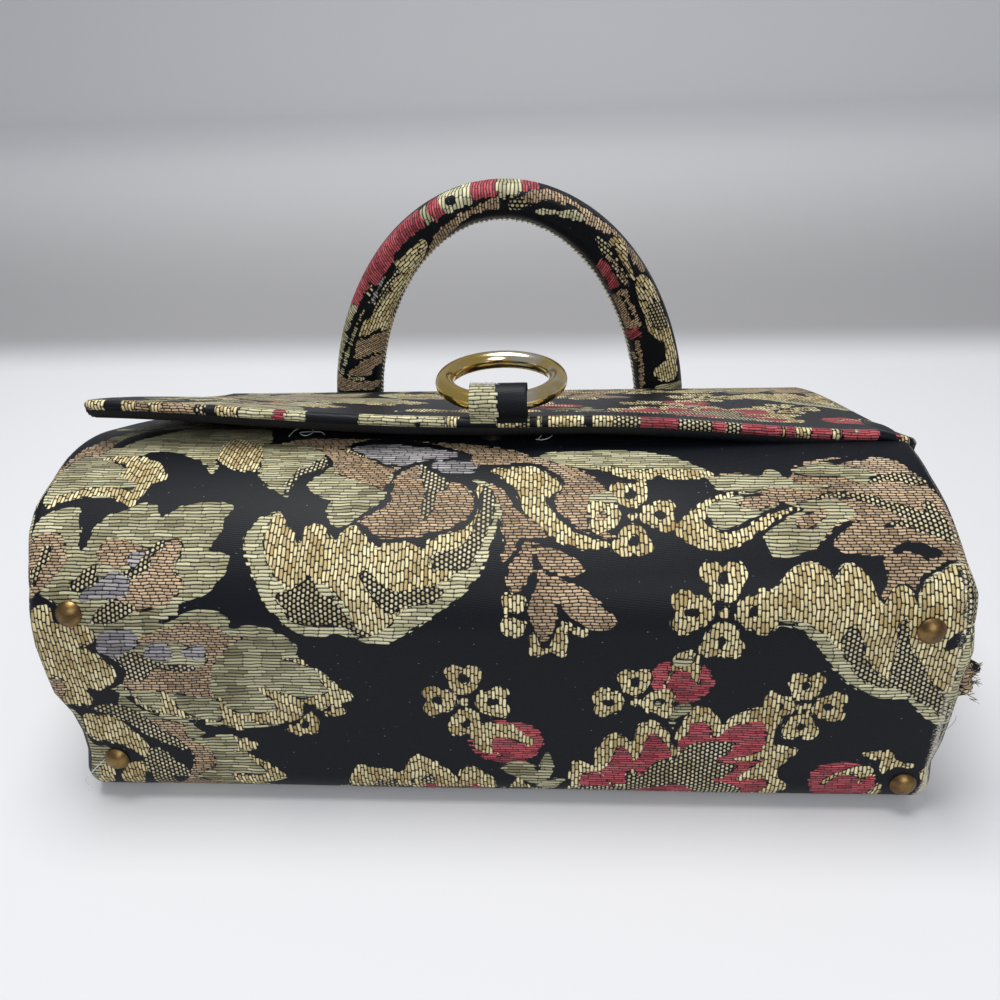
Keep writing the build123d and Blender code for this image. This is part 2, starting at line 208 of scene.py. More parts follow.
# brocade: shapes of the woven pattern, in millimetres of cloth (across, up the body)
brocadeShapes = [
    ("sage", "-142,120 -141.5,130 -135,143 -123.5,151.5 -98.5,150 -82.5,149 -76,128 -78.5,124.5"
     " -91.5,121.5 -90.5,117 -91.5,113.5 -94,116.5 -98.5,120.5 -106.5,125 -115.5,126 -119.5,123.5"
     " -125.5,122 -133,121 -137.5,118"),
    ("tan", "-145.5,109 -143.5,120 -141.5,130 -137,137.5 -132.5,132.5 -134.5,122 -139,114"
     " -142.5,109"),
    ("ground", "-132.5,131 -130.5,141 -123.5,151.5 -114,151 -119.5,142.5 -126.5,134.5 -129,130"),
    ("sage", "-142.5,97.5 -144,108.5 -142.5,116.5 -139.5,123 -132,122 -119,114.5 -114,109"
     " -115.5,104 -120,102 -131,102.5 -139,100.5"),
    ("gold", "-132.5,121.5 -126.5,124 -118,122.5 -111.5,119 -107,113.5 -107,109.5 -111.5,108"
     " -117,109 -121.5,111.5 -123.5,113.5 -121,116 -124.5,119.5"),
    ("gold", "-141.5,98 -141,103 -137,104.5 -131.5,106.5 -125,107 -119,106.5 -116,105.5 -115,108.5"
     " -111.5,108.5 -111,105 -112.5,101 -114.5,98.5 -116.5,99.5 -122.5,102.5 -129,103 -134.5,101.5"
     " -138.5,100"),
    ("gold", "-92,124.5 -85,127 -78.5,123.5 -76.5,117 -80.5,114.5 -85,116 -89,118.5"),
    ("sage", "-143,75.5 -143.5,83.5 -143,91.5 -140.5,95.5 -136.5,98 -131,98.5 -129.5,94 -127.5,89"
     " -127,83.5 -125,82.5 -124.5,87 -123.5,90.5 -121,94.5 -116,97.5 -110,100 -105.5,99.5"
     " -103.5,93.5 -101,96 -98,98.5 -91,100.5 -85,100.5 -80.5,98 -83,93.5 -82.5,89 -85,83.5 -81,82"
     " -78.5,80.5 -79,76.5 -81.5,72.5 -84,70 -89.5,67.5 -93,67 -93.5,64 -98.5,61 -109,57 -124.5,56"
     " -128,64 -140.5,64.5"),
    ("tan", "-142,86 -139.5,88.5 -134,88 -131,83.5 -130.5,78 -133.5,73 -137,69.5 -140.5,68"
     " -143,75.5"),
    ("tan", "-120.5,80.5 -118.5,86 -113,86.5 -104,84 -100,86 -95,86.5 -94,81.5 -95.5,77.5 -93,74"
     " -93,70 -98,66 -105,64 -111,63.5 -115,68 -110.5,72.5 -109.5,78 -113.5,77"),
    ("lavender", "-110,82 -105,82 -103.5,77 -106.5,76 -109,77"),
    ("lavender", "-118,73 -114.5,76 -109.5,75.5 -108.5,72 -110.5,68.5 -115,67.5 -119,67.5 -124,66"
     " -124,69.5"),
    ("dots", "-127,72.5 -123.5,76.5 -121,78.5 -119.5,77.5 -119.5,72.5 -123,70.5 -126.5,70"),
    ("dots", "-111.5,75.5 -108.5,76.5 -106,80.5 -103,84.5 -100,86.5 -100,84 -103,81 -104,76.5"
     " -108,74"),
    ("dots", "-141,75.5 -139,77.5 -138.5,82.5 -136.5,84 -135.5,81 -136.5,78 -138,73 -139.5,70.5"),
    ("sage", "-120,61.5 -104,62 -98.5,60 -92.5,63 -85.5,64.5 -78,62.5 -78,58.5 -71.5,59 -65.5,57.5"
     " -60.5,54.5 -57.5,51 -59.5,48 -58,45.5 -59.5,33.5 -65,22 -80,19.5 -94.5,21.5 -100,23.5"
     " -111,28.5 -118,34 -126,35.5 -123.5,49.5"),
    ("tan", "-110.5,52.5 -101.5,57 -93,60 -84,59.5 -79.5,56.5 -72.5,54 -71,50 -73.5,44.5 -72,39"
     " -78.5,33.5 -88,31.5 -98,33 -107.5,34.5 -115,35.5 -116.5,40 -104.5,43 -90.5,43 -87,48.5"
     " -94.5,52.5 -105.5,53"),
    ("lavender", "-119.5,56 -113.5,57.5 -108.5,56.5 -109.5,51 -115,47.5 -121,47 -123.5,49.5"),
    ("lavender", "-107,49.5 -102,53 -98.5,51.5 -99,46.5 -105,45.5"),
    ("lavender", "-94.5,49.5 -91,51.5 -87.5,51 -88,47 -93.5,46.5"),
    ("dots", "-121,61 -116,66.5 -112.5,67 -107,65 -109.5,62.5 -114.5,60 -120,59.5"),
    ("dots", "-116,47 -110,49.5 -107,47 -98.5,44 -90.5,43.5 -96.5,41.5 -104.5,43 -110,38.5"
     " -114.5,39 -118,44"),
    ("ground", "-141,66 -133,66.5 -127,58 -121,57 -121.5,49.5 -117.5,47 -114,42 -117.5,36.5"
     " -124.5,34 -127,29 -132,25.5 -141,28 -144,38"),
    ("gold", "-140,64 -133.5,65 -132.5,60 -127.5,59.5 -122.5,58.5 -121.5,56 -122.5,53 -126.5,51"
     " -122.5,49 -120,46 -117.5,42.5 -119,38 -124.5,35 -130,35 -127.5,32 -128,29.5 -133,27.5"
     " -138.5,29.5 -142,32.5 -142.5,38 -141.5,47 -141,56"),
    ("tan", "-140.5,38 -135.5,38.5 -136.5,32.5 -140,31"),
    ("sage", "-83,48.5 -68.5,58 -63.5,56.5 -60,53 -57.5,50.5 -59.5,48.5 -63,47 -58.5,46 -52.5,42.5"
     " -48,37 -43.5,32 -47,29.5 -54.5,26.5 -60,29 -60.5,23.5 -69,20.5 -74,21 -82,24.5 -88.5,33.5"),
    ("gold", "-63.5,46.5 -58.5,46.5 -52.5,42.5 -48,37 -43,32 -47,29 -54.5,26.5 -61.5,28 -64.5,30"
     " -59,30.5 -54,32 -50,34 -52.5,38 -53.5,41.5 -58,44.5"),
    ("gold", "-73,35 -69,34.5 -62,31.5 -61.5,29 -60.5,23.5 -69,20.5 -75.5,21 -77,24.5 -69,25.5"
     " -68,29.5 -71,32"),
    ("ground", "-62,29 -54.5,27.5 -55.5,26 -61,27.5"),
    ("gold", "-116,35.5 -113.5,33 -111,28.5 -106.5,27 -104,34.5 -101,29.5 -99,26 -94,23.5"
     " -86.5,22.5 -87,32.5 -83.5,27 -79,24.5 -71.5,24 -68,26.5 -71.5,36 -67,32.5 -60,30.5 -61,22.5"
     " -69,21 -79,21.5 -80.5,18.5 -87,20.5 -96.5,23 -101,24 -108.5,26 -113.5,30"),
    ("sage", "-118,33 -110.5,25.5 -100,23.5 -95,19.5 -92.5,17 -98,15 -84.5,16.5 -78.5,14 -77,11.5"
     " -80,9 -73.5,3.5 -68.5,-0.5 -72,-3 -78,-4.5 -73.5,-6 -88,-6.5 -106.5,-6 -120,-8 -119.5,2"
     " -115.5,13.5 -120,24"),
    ("tan", "-112,22.5 -100.5,21.5 -99,15.5 -93,10 -92,3.5 -99,-1.5 -91,-6 -107,-8 -113.5,-0.5"
     " -111.5,13.5"),
    ("gold", "-87.5,16.5 -78.5,14.5 -76.5,11.5 -82,9.5 -86,9 -82.5,12 -84,14.5"),
    ("gold", "-80.5,9.5 -73.5,4 -68.5,-0.5 -72,-3 -78,-5 -74,-7 -83,-6.5 -87.5,-0.5 -81,-0.5"
     " -74.5,0 -77.5,4.5"),
    ("ground", "-139,28 -131,28.5 -122.5,29 -115,25.5 -109,20 -99,10 -101,0 -107.5,-6 -118.5,-8"
     " -133.5,-7 -148,-7.5 -149.5,13 -143.5,26.5"),
    ("sage", "-137.5,26.5 -133,22.5 -133.5,16.5 -131.5,12 -127,11 -127,5.5 -134,-7 -136,-8"
     " -142.5,-6 -136,4 -136,11 -138,18.5"),
    ("gold", "-132.5,24.5 -127.5,24.5 -121.5,23.5 -117,17.5 -114,13 -113,7.5 -115.5,6 -121,11"
     " -126.5,13 -131.5,14 -133,18.5"),
    ("dots", "-130,28.5 -119,28.5 -112,24 -106,17 -100,11 -104,11 -112.5,16 -118.5,22 -127,26"),
    ("dots", "-116,5 -111,11.5 -106,7 -101,0 -105,-2 -109.5,1.5 -106.5,-6.5 -113.5,-8 -115,-0.5"),
    ("gold", "-123.5,2.5 -116.5,5 -117,-2 -121,-8 -125.5,-5"),
    ("gold", "-131,3.5 -127,2.5 -130.5,-7 -133.5,-7.5 -134.5,-5.5"),
    ("tan", "-70.5,134.5 -53.5,137.5 -26.5,133.5 10,124.5 10,114.5 -4,120 -6,112 -18,112 -24.5,117"
     " -32,113.5 -39,116 -49,117.5 -57,125.5"),
    ("sage", "-78.5,120 -79.5,130 -70,132.5 -57.5,126.5 -55,118.5 -61,115.5 -62.5,116.5 -64.5,108"
     " -63.5,102 -69.5,105.5 -74,110 -76.5,114.5"),
    ("gold", "-92,122 -92,135 -80.5,131.5 -76.5,119.5 -76.5,115 -81.5,114.5 -86.5,116.5"),
    ("dots", "-64.5,102.5 -65,107.5 -63,115 -60,116.5 -56,121.5 -54,117.5 -58,113 -61,112.5"
     " -63.5,106.5"),
    ("sage", "-58,108 -55,112.5 -51.5,116.5 -40.5,116 -32.5,113.5 -29.5,104.5 -32.5,101.5 -36.5,97"
     " -40.5,93.5 -45,90.5 -48,92 -50.5,98 -49.5,101 -53.5,102.5 -57,105.5"),
    ("tan", "-51.5,129.5 -37.5,121.5 -32.5,112.5 -32,104.5 -38,108 -45.5,110.5 -51.5,116.5"),
    ("gold", "-54,129.5 -40.5,125 -29.5,126.5 -29,120.5 -36,120 -45.5,124"),
    ("ground", "-49,129.5 -42.5,135.5 -26.5,133.5 -11,126 -1.5,118 -3,111 -11.5,109 -19,111.5"
     " -23,116 -30.5,115.5 -39.5,120.5"),
    ("lavender", "-47,128.5 -39,132 -26,129.5 -12.5,125 -11,121 -21.5,120 -27,117.5 -34,118"
     " -42,123.5"),
    ("lavender", "-20.5,117.5 -12.5,119.5 -4,118.5 -4.5,113.5 -12,112.5 -18.5,114"),
    ("ground", "-3.5,117 3,116 10.5,107 10.5,98 5,104.5 -1,108.5 -4,112"),
    ("cream", "-74.5,83.5 -74.5,88.5 -71,94 -65.5,96.5 -63.5,92.5 -59,88 -57.5,84.5 -57,88.5"
     " -54,92 -49.5,90 -46,85.5 -43.5,90 -40,91 -36.5,87 -32.5,83 -31,86.5 -26,86.5 -21.5,85"
     " -18.5,82 -18,85.5 -13,88 -8,90.5 -4.5,93.5 -2.5,99.5 -2.5,107 -6.5,110 0.5,108 5,100 3.5,91"
     " 1.5,83.5 -1.5,75 -7.5,68.5 -15,62.5 -23.5,57 -31.5,52.5 -38.5,54 -46,57 -50.5,55 -57,56.5"
     " -62.5,61.5 -67,67 -70.5,74.5"),
    ("gold", "-68.5,86 -68,91 -65.5,96 -59,88 -57,84.5 -57,88.5 -54,92 -49.5,90 -46,85.5 -43.5,90"
     " -40,91 -36.5,87 -32.5,83 -31,86.5 -26,86.5 -21.5,85 -18.5,82 -18,85.5 -13,88 -8,90.5"
     " -5.5,93.5 -3,107 0.5,104.5 1.5,97 -2,86 -6.5,77.5 -14,71.5 -22,66 -28.5,59.5 -34.5,56"
     " -39,59.5 -43,67 -50,72.5 -58.5,70 -65,76.5"),
    ("dots", "-63,69 -56.5,71.5 -52.5,74.5 -50,70 -45.5,67 -41,62 -38,58 -33.5,56 -38,55.5"
     " -43.5,58.5 -49,59.5 -56,59.5 -60.5,63.5"),
    ("dots", "-37.5,74.5 -34.5,76 -29,70.5 -23,70 -16,71.5 -10.5,70.5 -16,66.5 -24,65.5 -28.5,63"
     " -33,67.5"),
    ("dots", "-16.5,80.5 -11,83 -5.5,86 -2,98 -0.5,106 2.5,104.5 2,93.5 -1.5,83.5 -4.5,77.5"
     " -10.5,76.5 -15.5,77.5"),
    ("ground", "-41.5,92.5 -37.5,96.5 -32.5,101 -32.5,107 -30,113 -24.5,118.5 -19.5,117 -14,111.5"
     " -8,109.5 -3,104 -2.5,97 -5,91.5 -11.5,88.5 -21.5,86 -31.5,85.5 -37.5,88.5"),
    ("tan", "-40,92.5 -36,95 -30.5,99.5 -30.5,105 -29.5,111.5 -24.5,117 -20.5,114.5 -14.5,109"
     " -8.5,107.5 -4.5,103 -4,98 -6,93.5 -11.5,90.5 -21.5,87.5 -32,87 -36.5,90"),
    ("dots", "-22.5,118 -18.5,113 -12.5,108.5 -13,105.5 -16,104 -16.5,98 -19,93.5 -20.5,96.5"
     " -19.5,104.5 -21.5,110.5"),
    ("tan", "-6.5,122 -3.5,123 15,121.5 24,117.5 31.5,112.5 36.5,107 38.5,101 37,92 39.5,86.5"
     " 36.5,85 30.5,86.5 25,91.5 20,98.5 19.5,102 23.5,105.5 20.5,111.5 14,116 5,117 -3,115.5"),
    ("sage", "15.5,122 25.5,124.5 40.5,125.5 51.5,124.5 61,120.5 66.5,116 71,111.5 66,109.5"
     " 59.5,109.5 54.5,111.5 52,109.5 47.5,109 43,111.5 37,114.5 31.5,115 23,117.5"),
    ("gold", "31.5,117.5 38,116 43.5,114.5 50.5,114 56,115 61,114 66.5,114 71.5,111.5 65.5,109.5"
     " 59.5,109 54.5,111 52,109 47.5,109 42.5,111 36,114.5"),
    ("ground", "-3,116.5 7,117.5 15,117.5 22.5,111.5 24.5,105.5 21.5,102 22,97.5 27,91.5 33.5,87.5"
     " 38.5,86 37.5,84.5 31,85.5 23.5,87.5 16.5,90 11,96 7,103.5 0.5,110.5"),
    ("gold", "0.5,114 7,115.5 14.5,115.5 20.5,111 23.5,105.5 19,102 20.5,97 25.5,90.5 30.5,87.5"
     " 38,85 34.5,83.5 28.5,83.5 22.5,86 17.5,90 13,94.5 10.5,100.5 8,106.5 4,111"),
    ("sage", "32,102 37.5,104 40.5,101 39.5,97.5 34,97.5"),
    ("tan", "0.5,107 3.5,106.5 6.5,102.5 9,97.5 13.5,94 17.5,90.5 18.5,87.5 15,87.5 11.5,87.5 8,90"
     " 4.5,92 5,97"),
    ("tan", "5,92 8.5,94.5 11,90 10,85.5 8.5,82 5,79.5 6,85.5"),
    ("tan", "12,86 14.5,85 14.5,79 13,73.5 9.5,69.5 7,73 7.5,77.5 10,81"),
    ("tan", "15,84.5 20.5,84 24.5,82 30,77.5 26.5,75 20.5,76.5 17,79"),
    ("tan", "18.5,75 26.5,72.5 33,68.5 39.5,61 36.5,58.5 30.5,59.5 24.5,64 21,69"),
    ("tan", "16,78 18.5,74 20.5,69 22,63.5 19.5,56.5 17.5,53.5 15,58.5 13,64.5 14.5,70 16.5,74"),
    ("gold", "5,69 8,69.5 12,68.5 12,65.5 9,63.5 5.5,65"),
    ("gold", "5,62 9,62.5 13,60 10.5,56 6,57"),
    ("gold", "13,56.5 15,57 16,53 19,51.5 20.5,54 21.5,58.5 23.5,59 25,53 23.5,48.5 19,50"
     " 14.5,48.5"),
    ("gold", "23,62.5 26.5,60 31.5,58 30,56 26.5,57.5 23.5,59.5"),
    ("tan", "69.5,109.5 78,112 86.5,111 89.5,113.5 94.5,109.5 98,115.5 106,118.5 121.5,120.5"
     " 129.5,118 134.5,110 138,102 141.5,92 143,80.5 138.5,79.5 133.5,80.5 131.5,85 125.5,85.5"
     " 121.5,83.5 117,82 110,81.5 104.5,83.5 102.5,84.5 99,84 94.5,82 87.5,80.5 85,82.5 84,88.5"
     " 77.5,85 68,85 65.5,95 69.5,100 80,102.5"),
    ("ground", "95.5,114.5 113,119.5 122,122.5 127.5,121.5 112,116.5 103.5,114.5 97.5,112"),
    ("sage", "69.5,109.5 78,111.5 86,111 88,113.5 91,113.5 94,110 98.5,107 106.5,106 98.5,105"
     " 89.5,105.5 80,103 73,104"),
    ("sage", "96.5,113.5 104.5,117 112,115.5 119.5,113 123,109.5 117.5,106.5 112,110 104,110"
     " 98.5,111"),
    ("sage", "90.5,99 98.5,100 108.5,100.5 112,95 107,92.5 103,89.5 99,84 94.5,82 87.5,80.5"
     " 85,82.5 84,88.5 89,92 94.5,96.5"),
    ("tan", "94,93 99,96 103.5,96.5 101.5,92.5 95.5,89.5"),
    ("ground", "113.5,93.5 107,92 103,88.5 99.5,84.5 102.5,83.5 105.5,87.5 109,91"),
    ("dots", "98.5,100 106,103.5 115.5,103 122.5,100 130.5,96.5 136.5,93.5 141.5,85 138.5,88"
     " 134.5,90 128,93 121,97 114,100.5 105.5,102"),
    ("dots", "118,107 121.5,110.5 130.5,111.5 136,107.5 131.5,106.5 126,108.5"),
    ("dots", "118.5,91 124.5,93 130.5,92 135.5,89.5 141,85 135,87 129,89.5 124,91"),
    ("dots", "132,98.5 134.5,100 138,93 140.5,87.5 137.5,89.5 135,93.5"),
    ("ground", "121,83.5 123.5,85.5 128.5,86 132,84 134.5,82 131.5,80 128.5,81 125,82 122.5,82"),
    ("tan", "117.5,80.5 122.5,82.5 126,82.5 131,80 134.5,80 131,77 127.5,76 125.5,71 122,73.5"
     " 119,71.5 116,68.5 118,76"),
    ("ground", "65,100 69.5,102.5 76.5,104 84.5,103 89.5,100 97,97 88.5,92.5 83.5,88.5 77.5,83.5"
     " 71,81 61,82.5 55,89 56.5,94"),
    ("gold", "56.5,90 59,92.5 66,99 73.5,102.5 80,103.5 73.5,101 69,96.5 66.5,93 69.5,89.5 75,88.5"
     " 82,92.5 89,96.5 95.5,97 90,94.5 84,90 77.5,85 71,82.5 64.5,83.5 59.5,86"),
    ("sage", "69,98.5 76.5,101.5 83,101.5 89.5,99.5 88,97 82,94.5 75,90.5 70,90.5 68,94.5"),
    ("tan", "79.5,101.5 86.5,102 93,101.5 88,98.5 82.5,97 78,98"),
    ("cream", "81.5,61 81,65.5 85,70.5 88,74 91,77 96,79 100.5,78 103.5,73.5 104.5,77.5 108.5,79"
     " 112,76 114,70 116,66 117,68 121,72.5 125,69.5 126.5,65.5 127.5,72.5 133,76.5 138.5,79"
     " 143.5,76.5 148,69 147,56.5 145.5,42 145.5,29 144,24.5 137,25 129.5,32 127,34.5 118.5,34.5"
     " 109.5,40 103,47 97.5,55 92.5,59 87,60.5 85,58.5"),
    ("gold", "81,65.5 85,70.5 88,74 91,77 96,79 100.5,78 103.5,73.5 104.5,77.5 108.5,79 112,76"
     " 114,70 116,66 117,68 121,72.5 125,69.5 126.5,65.5 127.5,72.5 133,76.5 138.5,79 143.5,76.5"
     " 141.5,67 140.5,56.5 140.5,47.5 140,36.5 136.5,38 130.5,42 126.5,40.5 120,40.5 113,44.5"
     " 106.5,50.5 101,56.5 96,60 90.5,61.5 86.5,61 85,58.5 82,61"),
    ("dots", "105.5,52.5 106.5,59 109,59.5 111.5,54.5 113.5,48.5 119,42 124,42 129.5,43 134.5,39"
     " 139.5,33.5 143.5,26.5 139,27.5 131,33.5 124,37.5 117,38.5 111,43.5"),
    ("dots", "122,43 121.5,52.5 121,61.5 124,62 124.5,56 127.5,50 132,43.5 128,41"),
    ("ground", "135.5,56.5 139.5,59 141,55.5 138,52.5 135.5,52.5"),
    ("dots", "138,76.5 141.5,75 145.5,69 142,62 139,63.5 140,70"),
    ("ground", "24,-6.5 25,5.5 28,10 32.5,8.5 32.5,14 38.5,21 44.5,20.5 48.5,26.5 56,24 59,20.5"
     " 62.5,29 67.5,33 73,27.5 76,25.5 85,30 89.5,-8 24,-6.5"),
    ("gold", "26,-6.5 26,4 28,8 33.5,5.5 34,11.5 36.5,16 39.5,19 43.5,17.5 46,14 46.5,20.5 49.5,24"
     " 54,23 57.5,18 59,14 60,22 64,27.5 67.5,30.5 71.5,26.5 73.5,20 75.5,23.5 80,27.5 85,27.5"
     " 89.5,-8 26,-6.5"),
    ("gold", "63,26 66,30.5 69.5,27 73,21 76.5,26.5 83,30 88.5,31.5 91,28 90,19 91,15.5 98,14"
     " 95.5,10 91.5,3 96,-1 93,-6.5 89.5,-7.5 65.5,-7"),
    ("rose", "29,1.5 33.5,3 36.5,1.5 40,-4.5 35,-6.5 30.5,-3.5"),
    ("rose", "36.5,3 39.5,8.5 41,13 44,13 47,6.5 48.5,6 44,3 44,-2 40,-2"),
    ("rose", "48.5,10 50,16.5 52.5,19 55.5,16 58.5,11 55.5,9 53,6 50.5,2.5 47.5,3 46.5,7.5"),
    ("rose", "59.5,14.5 63.5,20 66.5,24 70,21 70.5,17 75.5,20 85.5,24.5 86.5,13.5 76.5,10 72,15"
     " 66,12 62.5,13"),
    ("rose", "63,22.5 69,18 73.5,19 78,23.5 85,23.5 83,18.5 80.5,14.5 76.5,10.5 82.5,8.5 87.5,9.5"
     " 81.5,4 79,0.5 86,1 90,0 86,-7 78,-7 65,-6.5"),
    ("dots", "27,-5 34.5,-3.5 43.5,-4 44.5,3 48.5,2 53.5,7.5 58.5,9 61.5,12 66,13.5 71,13.5"
     " 77.5,16 77,13.5 71.5,8.5 75.5,7.5 80,6.5 74,2.5 71,-2 78.5,-8 83.5,-6.5 78.5,-7 57,-8"
     " 35,-7.5 27,-7"),
    ("dots", "63.5,13.5 70.5,16 77,16 76,11.5 71,8.5 77.5,7 77.5,3 71.5,0.5 80,-2 80.5,-7"
     " 65.5,-8.5"),
    ("rose", "43.5,-6 51,-4 61.5,-1.5 67.5,-7 65,-7 51.5,-8 43,-6"),
    ("rose", "50.5,40.5 51.5,45 55,47 63.5,47 67.5,44.5 69.5,40.5 68.5,36.5 64.5,32.5 60.5,31"
     " 56,33 51.5,37"),
    ("gold", "54.5,37.5 55.5,43 56.5,47.5 58.5,50.5 62.5,51 64.5,47.5 65.5,43 65,38 63.5,40 62,43"
     " 59,43.5 57.5,43.5 56.5,40.5"),
    ("sage", "57.5,48 63,48.5 62.5,46.5 58,46"),
    ("sage", "50,30.5 53.5,32 55.5,29.5 62,31.5 64,30.5 62,27 59,25 58,21 56.5,25 52.5,28"),
    ("rose", "-6.5,14.5 -4,21.5 1.5,24 9.5,24 14.5,22 17.5,16 15,10.5 9.5,6.5 3.5,6 -3,9"),
    ("gold", "-6,19.5 -3,23 6.5,23 11.5,19 15,16 12.5,13 8.5,16.5 2,17 1,12 4,9.5 -0.5,10"
     " -4.5,12.5"),
    ("rose", "2,15.5 6.5,16.5 11,15 9.5,12.5 3.5,12"),
    ("rose", "102.5,0.5 104,6 108,8.5 115.5,8.5 121.5,4.5 123.5,0 121.5,-7 113,-7 106,-6.5"),
    ("gold", "106.5,1 112,5 120,7.5 123,4 120,2.5 118,-3 118,3 111.5,3 107.5,-1"),
    ("sage", "3.5,3.5 8.5,7.5 13,6.5 16,2.5 16.5,8 18.5,11 20.5,8.5 20,2.5 18.5,-0.5 24.5,0.5"
     " 22,-4 19.5,-7 14.5,-3 8.5,0.5"),
    ("gold", "-66.5,18.5 -61,21.5 -58,25 -55.5,24 -54.5,21 -56,16.5 -59.5,17.5 -62.5,16"),
    ("ground", "-61.5,20 -58.5,22 -58.5,19.5 -60.5,18"),
    ("gold", "-53,25 -49.5,26.5 -46.5,27.5 -46,25 -49.5,23.5"),
    ("gold", "-47.5,-8 -46.5,0 -43.5,4.5 -38,3.5 -32.5,2.5 -28.5,0 -27.5,6 -23.5,9 -18.5,7 -12.5,1"
     " -11.5,-3 -9,4 -5,4.5 0.5,0 4,-7 9.5,0 14,-8 14,-6 -47,-6.5"),
    ("rose", "-31.5,-7.5 -26,-4.5 -21,-2 -15,-8.5 -8,-6.5 -5.5,-3.5 -1,-8 0,-7.5 -31,-6.5"),
    ("dots", "-38.5,-2.5 -31.5,-0.5 -27.5,-3 -22.5,1 -18.5,-1 -22,-4 -31,-7 -33.5,-7.5 -39,-6"),
    ("gold", "117.5,11.5 120,14 127,13.5 128,10.5 134.5,8 132.5,7 127.5,7 126.5,4 124,7 124,10"),
    ("gold", "121.5,-6.5 124.5,0 126.5,-1.5 126,-7.5 122.5,-7"),
    ("gold", "136,-7 139,-2.5 137,5 139.5,6.5 141,-4.5 138,-6"),
]
fourPetals = [(44.8, 94.5, 9.3, "0123"), (70.7, 64, 10.4, "0123"), (97.3, 31, 8.6, "0123"),
              (-7, 31.5, 9.4, "0123"), (45.5, 31.2, 8.6, "013"), (-34.7, -1.5, 8.8, "1")]
brocadeKinds = ("gold", "sage", "tan", "rose", "lavender", "dots", "cream")
brocadeRepeat = {"across": 292, "up": 160, "far": 6.0}


def smoothLoop(corners, steps=4):
    # a closed curve through the corners
    p = np.asarray(corners, float)
    before, after, beyond = np.roll(p, 1, 0), np.roll(p, -1, 0), np.roll(p, -2, 0)
    t = (np.arange(steps) / steps)[:, None, None]
    curve = 0.5 * (2 * p + (after - before) * t + (2 * before - 5 * p + 4 * after - beyond) * t ** 2
                   + (3 * p - before - 3 * after + beyond) * t ** 3)
    return curve.transpose(1, 0, 2).reshape(-1, 2)


def loopDistance(u, v, loop):
    # distance to a closed outline, negative inside
    nearest = np.full(u.shape, 1e9)
    inside = np.zeros(u.shape, bool)
    for (ax, ay), (bx, by) in zip(loop, np.roll(loop, -1, 0)):
        ex, ey = bx - ax, by - ay
        t = np.clip(((u - ax) * ex + (v - ay) * ey) / (ex * ex + ey * ey + 1e-9), 0, 1)
        nearest = np.minimum(nearest, (u - ax - t * ex) ** 2 + (v - ay - t * ey) ** 2)
        inside ^= ((ay > v) != (by > v)) & (u < ex * (v - ay) / (by - ay + 1e-12) + ax)
    return np.where(inside, -1, 1) * np.sqrt(nearest)


def petalDistance(u, v, centre, size, side):
    # one looped petal: two lobes and a foot, with a hole
    turn = side * pi / 2
    across, along = (u - centre[0]), (v - centre[1])
    x = across * cos(turn) - along * sin(turn)
    y = across * sin(turn) + along * cos(turn)
    lobe = np.hypot(np.abs(x) - 0.31 * size, y - 1.12 * size) - 0.35 * size
    foot = np.hypot(x * 1.02, y - 0.8 * size) - 0.5 * size
    hole = 0.17 * size - np.hypot(x, (y - 0.92 * size) * 0.8)
    return np.maximum(np.minimum(lobe, foot), hole)


def cornersOf(text):
    return [tuple(map(float, p.split(","))) for p in text.split()]


brocadePaths = [(kind, smoothLoop(cornersOf(text))) for kind, text in brocadeShapes]


def paintKind(depth, kind, near, distance):
    # the kind gains the shape, and every other kind loses it
    far = brocadeRepeat["far"]
    for other in brocadeKinds:
        old = depth[other][near]
        depth[other][near] = np.minimum(old, distance) if other == kind \
            else np.maximum(old, np.minimum(-distance, far))


def paintPaths(depth, x, y, paths):
    far = brocadeRepeat["far"]
    for kind, path in paths:
        low, high = path.min(0) - far, path.max(0) + far
        near = np.nonzero((x > low[0]) & (x < high[0]) & (y > low[1]) & (y < high[1]))[0]
        if len(near):
            paintKind(depth, kind, near, loopDistance(x[near], y[near], path))


def fieldsFrom(depth, shape):
    return {"floatsOne": np.stack([depth[k].reshape(shape) for k in ("gold", "sage", "tan")], -1),
            "floatsTwo": np.stack([depth[k].reshape(shape) for k in ("rose", "lavender", "dots")], -1),
            "floatsThree": np.stack([depth["cream"].reshape(shape)] * 3, -1)}


def clothFields(u, v, paths):
    # how far each place lies inside or outside the seven kinds of float, for one list of shapes
    x, y = np.ravel(u).astype(float), np.ravel(v).astype(float)
    depth = {kind: np.full(x.shape, brocadeRepeat["far"]) for kind in brocadeKinds}
    paintPaths(depth, x, y, paths)
    return fieldsFrom(depth, np.shape(u))


def brocadeFields(u, v):
    # the same for the body's pattern, which repeats
    x, y = np.ravel(u).astype(float), np.ravel(v).astype(float)
    depth = {kind: np.full(x.shape, brocadeRepeat["far"]) for kind in brocadeKinds}
    for upCopy in (-1, 0, 1):
        for sideCopy in (-1, 0, 1):
            a, b = x - sideCopy * brocadeRepeat["across"], y - upCopy * brocadeRepeat["up"]
            paintPaths(depth, a, b, brocadePaths)
            for cx, cy, size, sides in fourPetals:
                near = np.nonzero((abs(a - cx) < 2.2 * size) & (abs(b - cy) < 2.2 * size))[0]
                if len(near):
                    heart = np.hypot(a[near] - cx, b[near] - cy) - 0.15 * size
                    for side in map(int, sides):
                        heart = np.minimum(heart, petalDistance(a[near], b[near], (cx, cy),
                                                                size, side))
                    paintKind(depth, "gold", near, heart)
    return fieldsFrom(depth, np.shape(u))


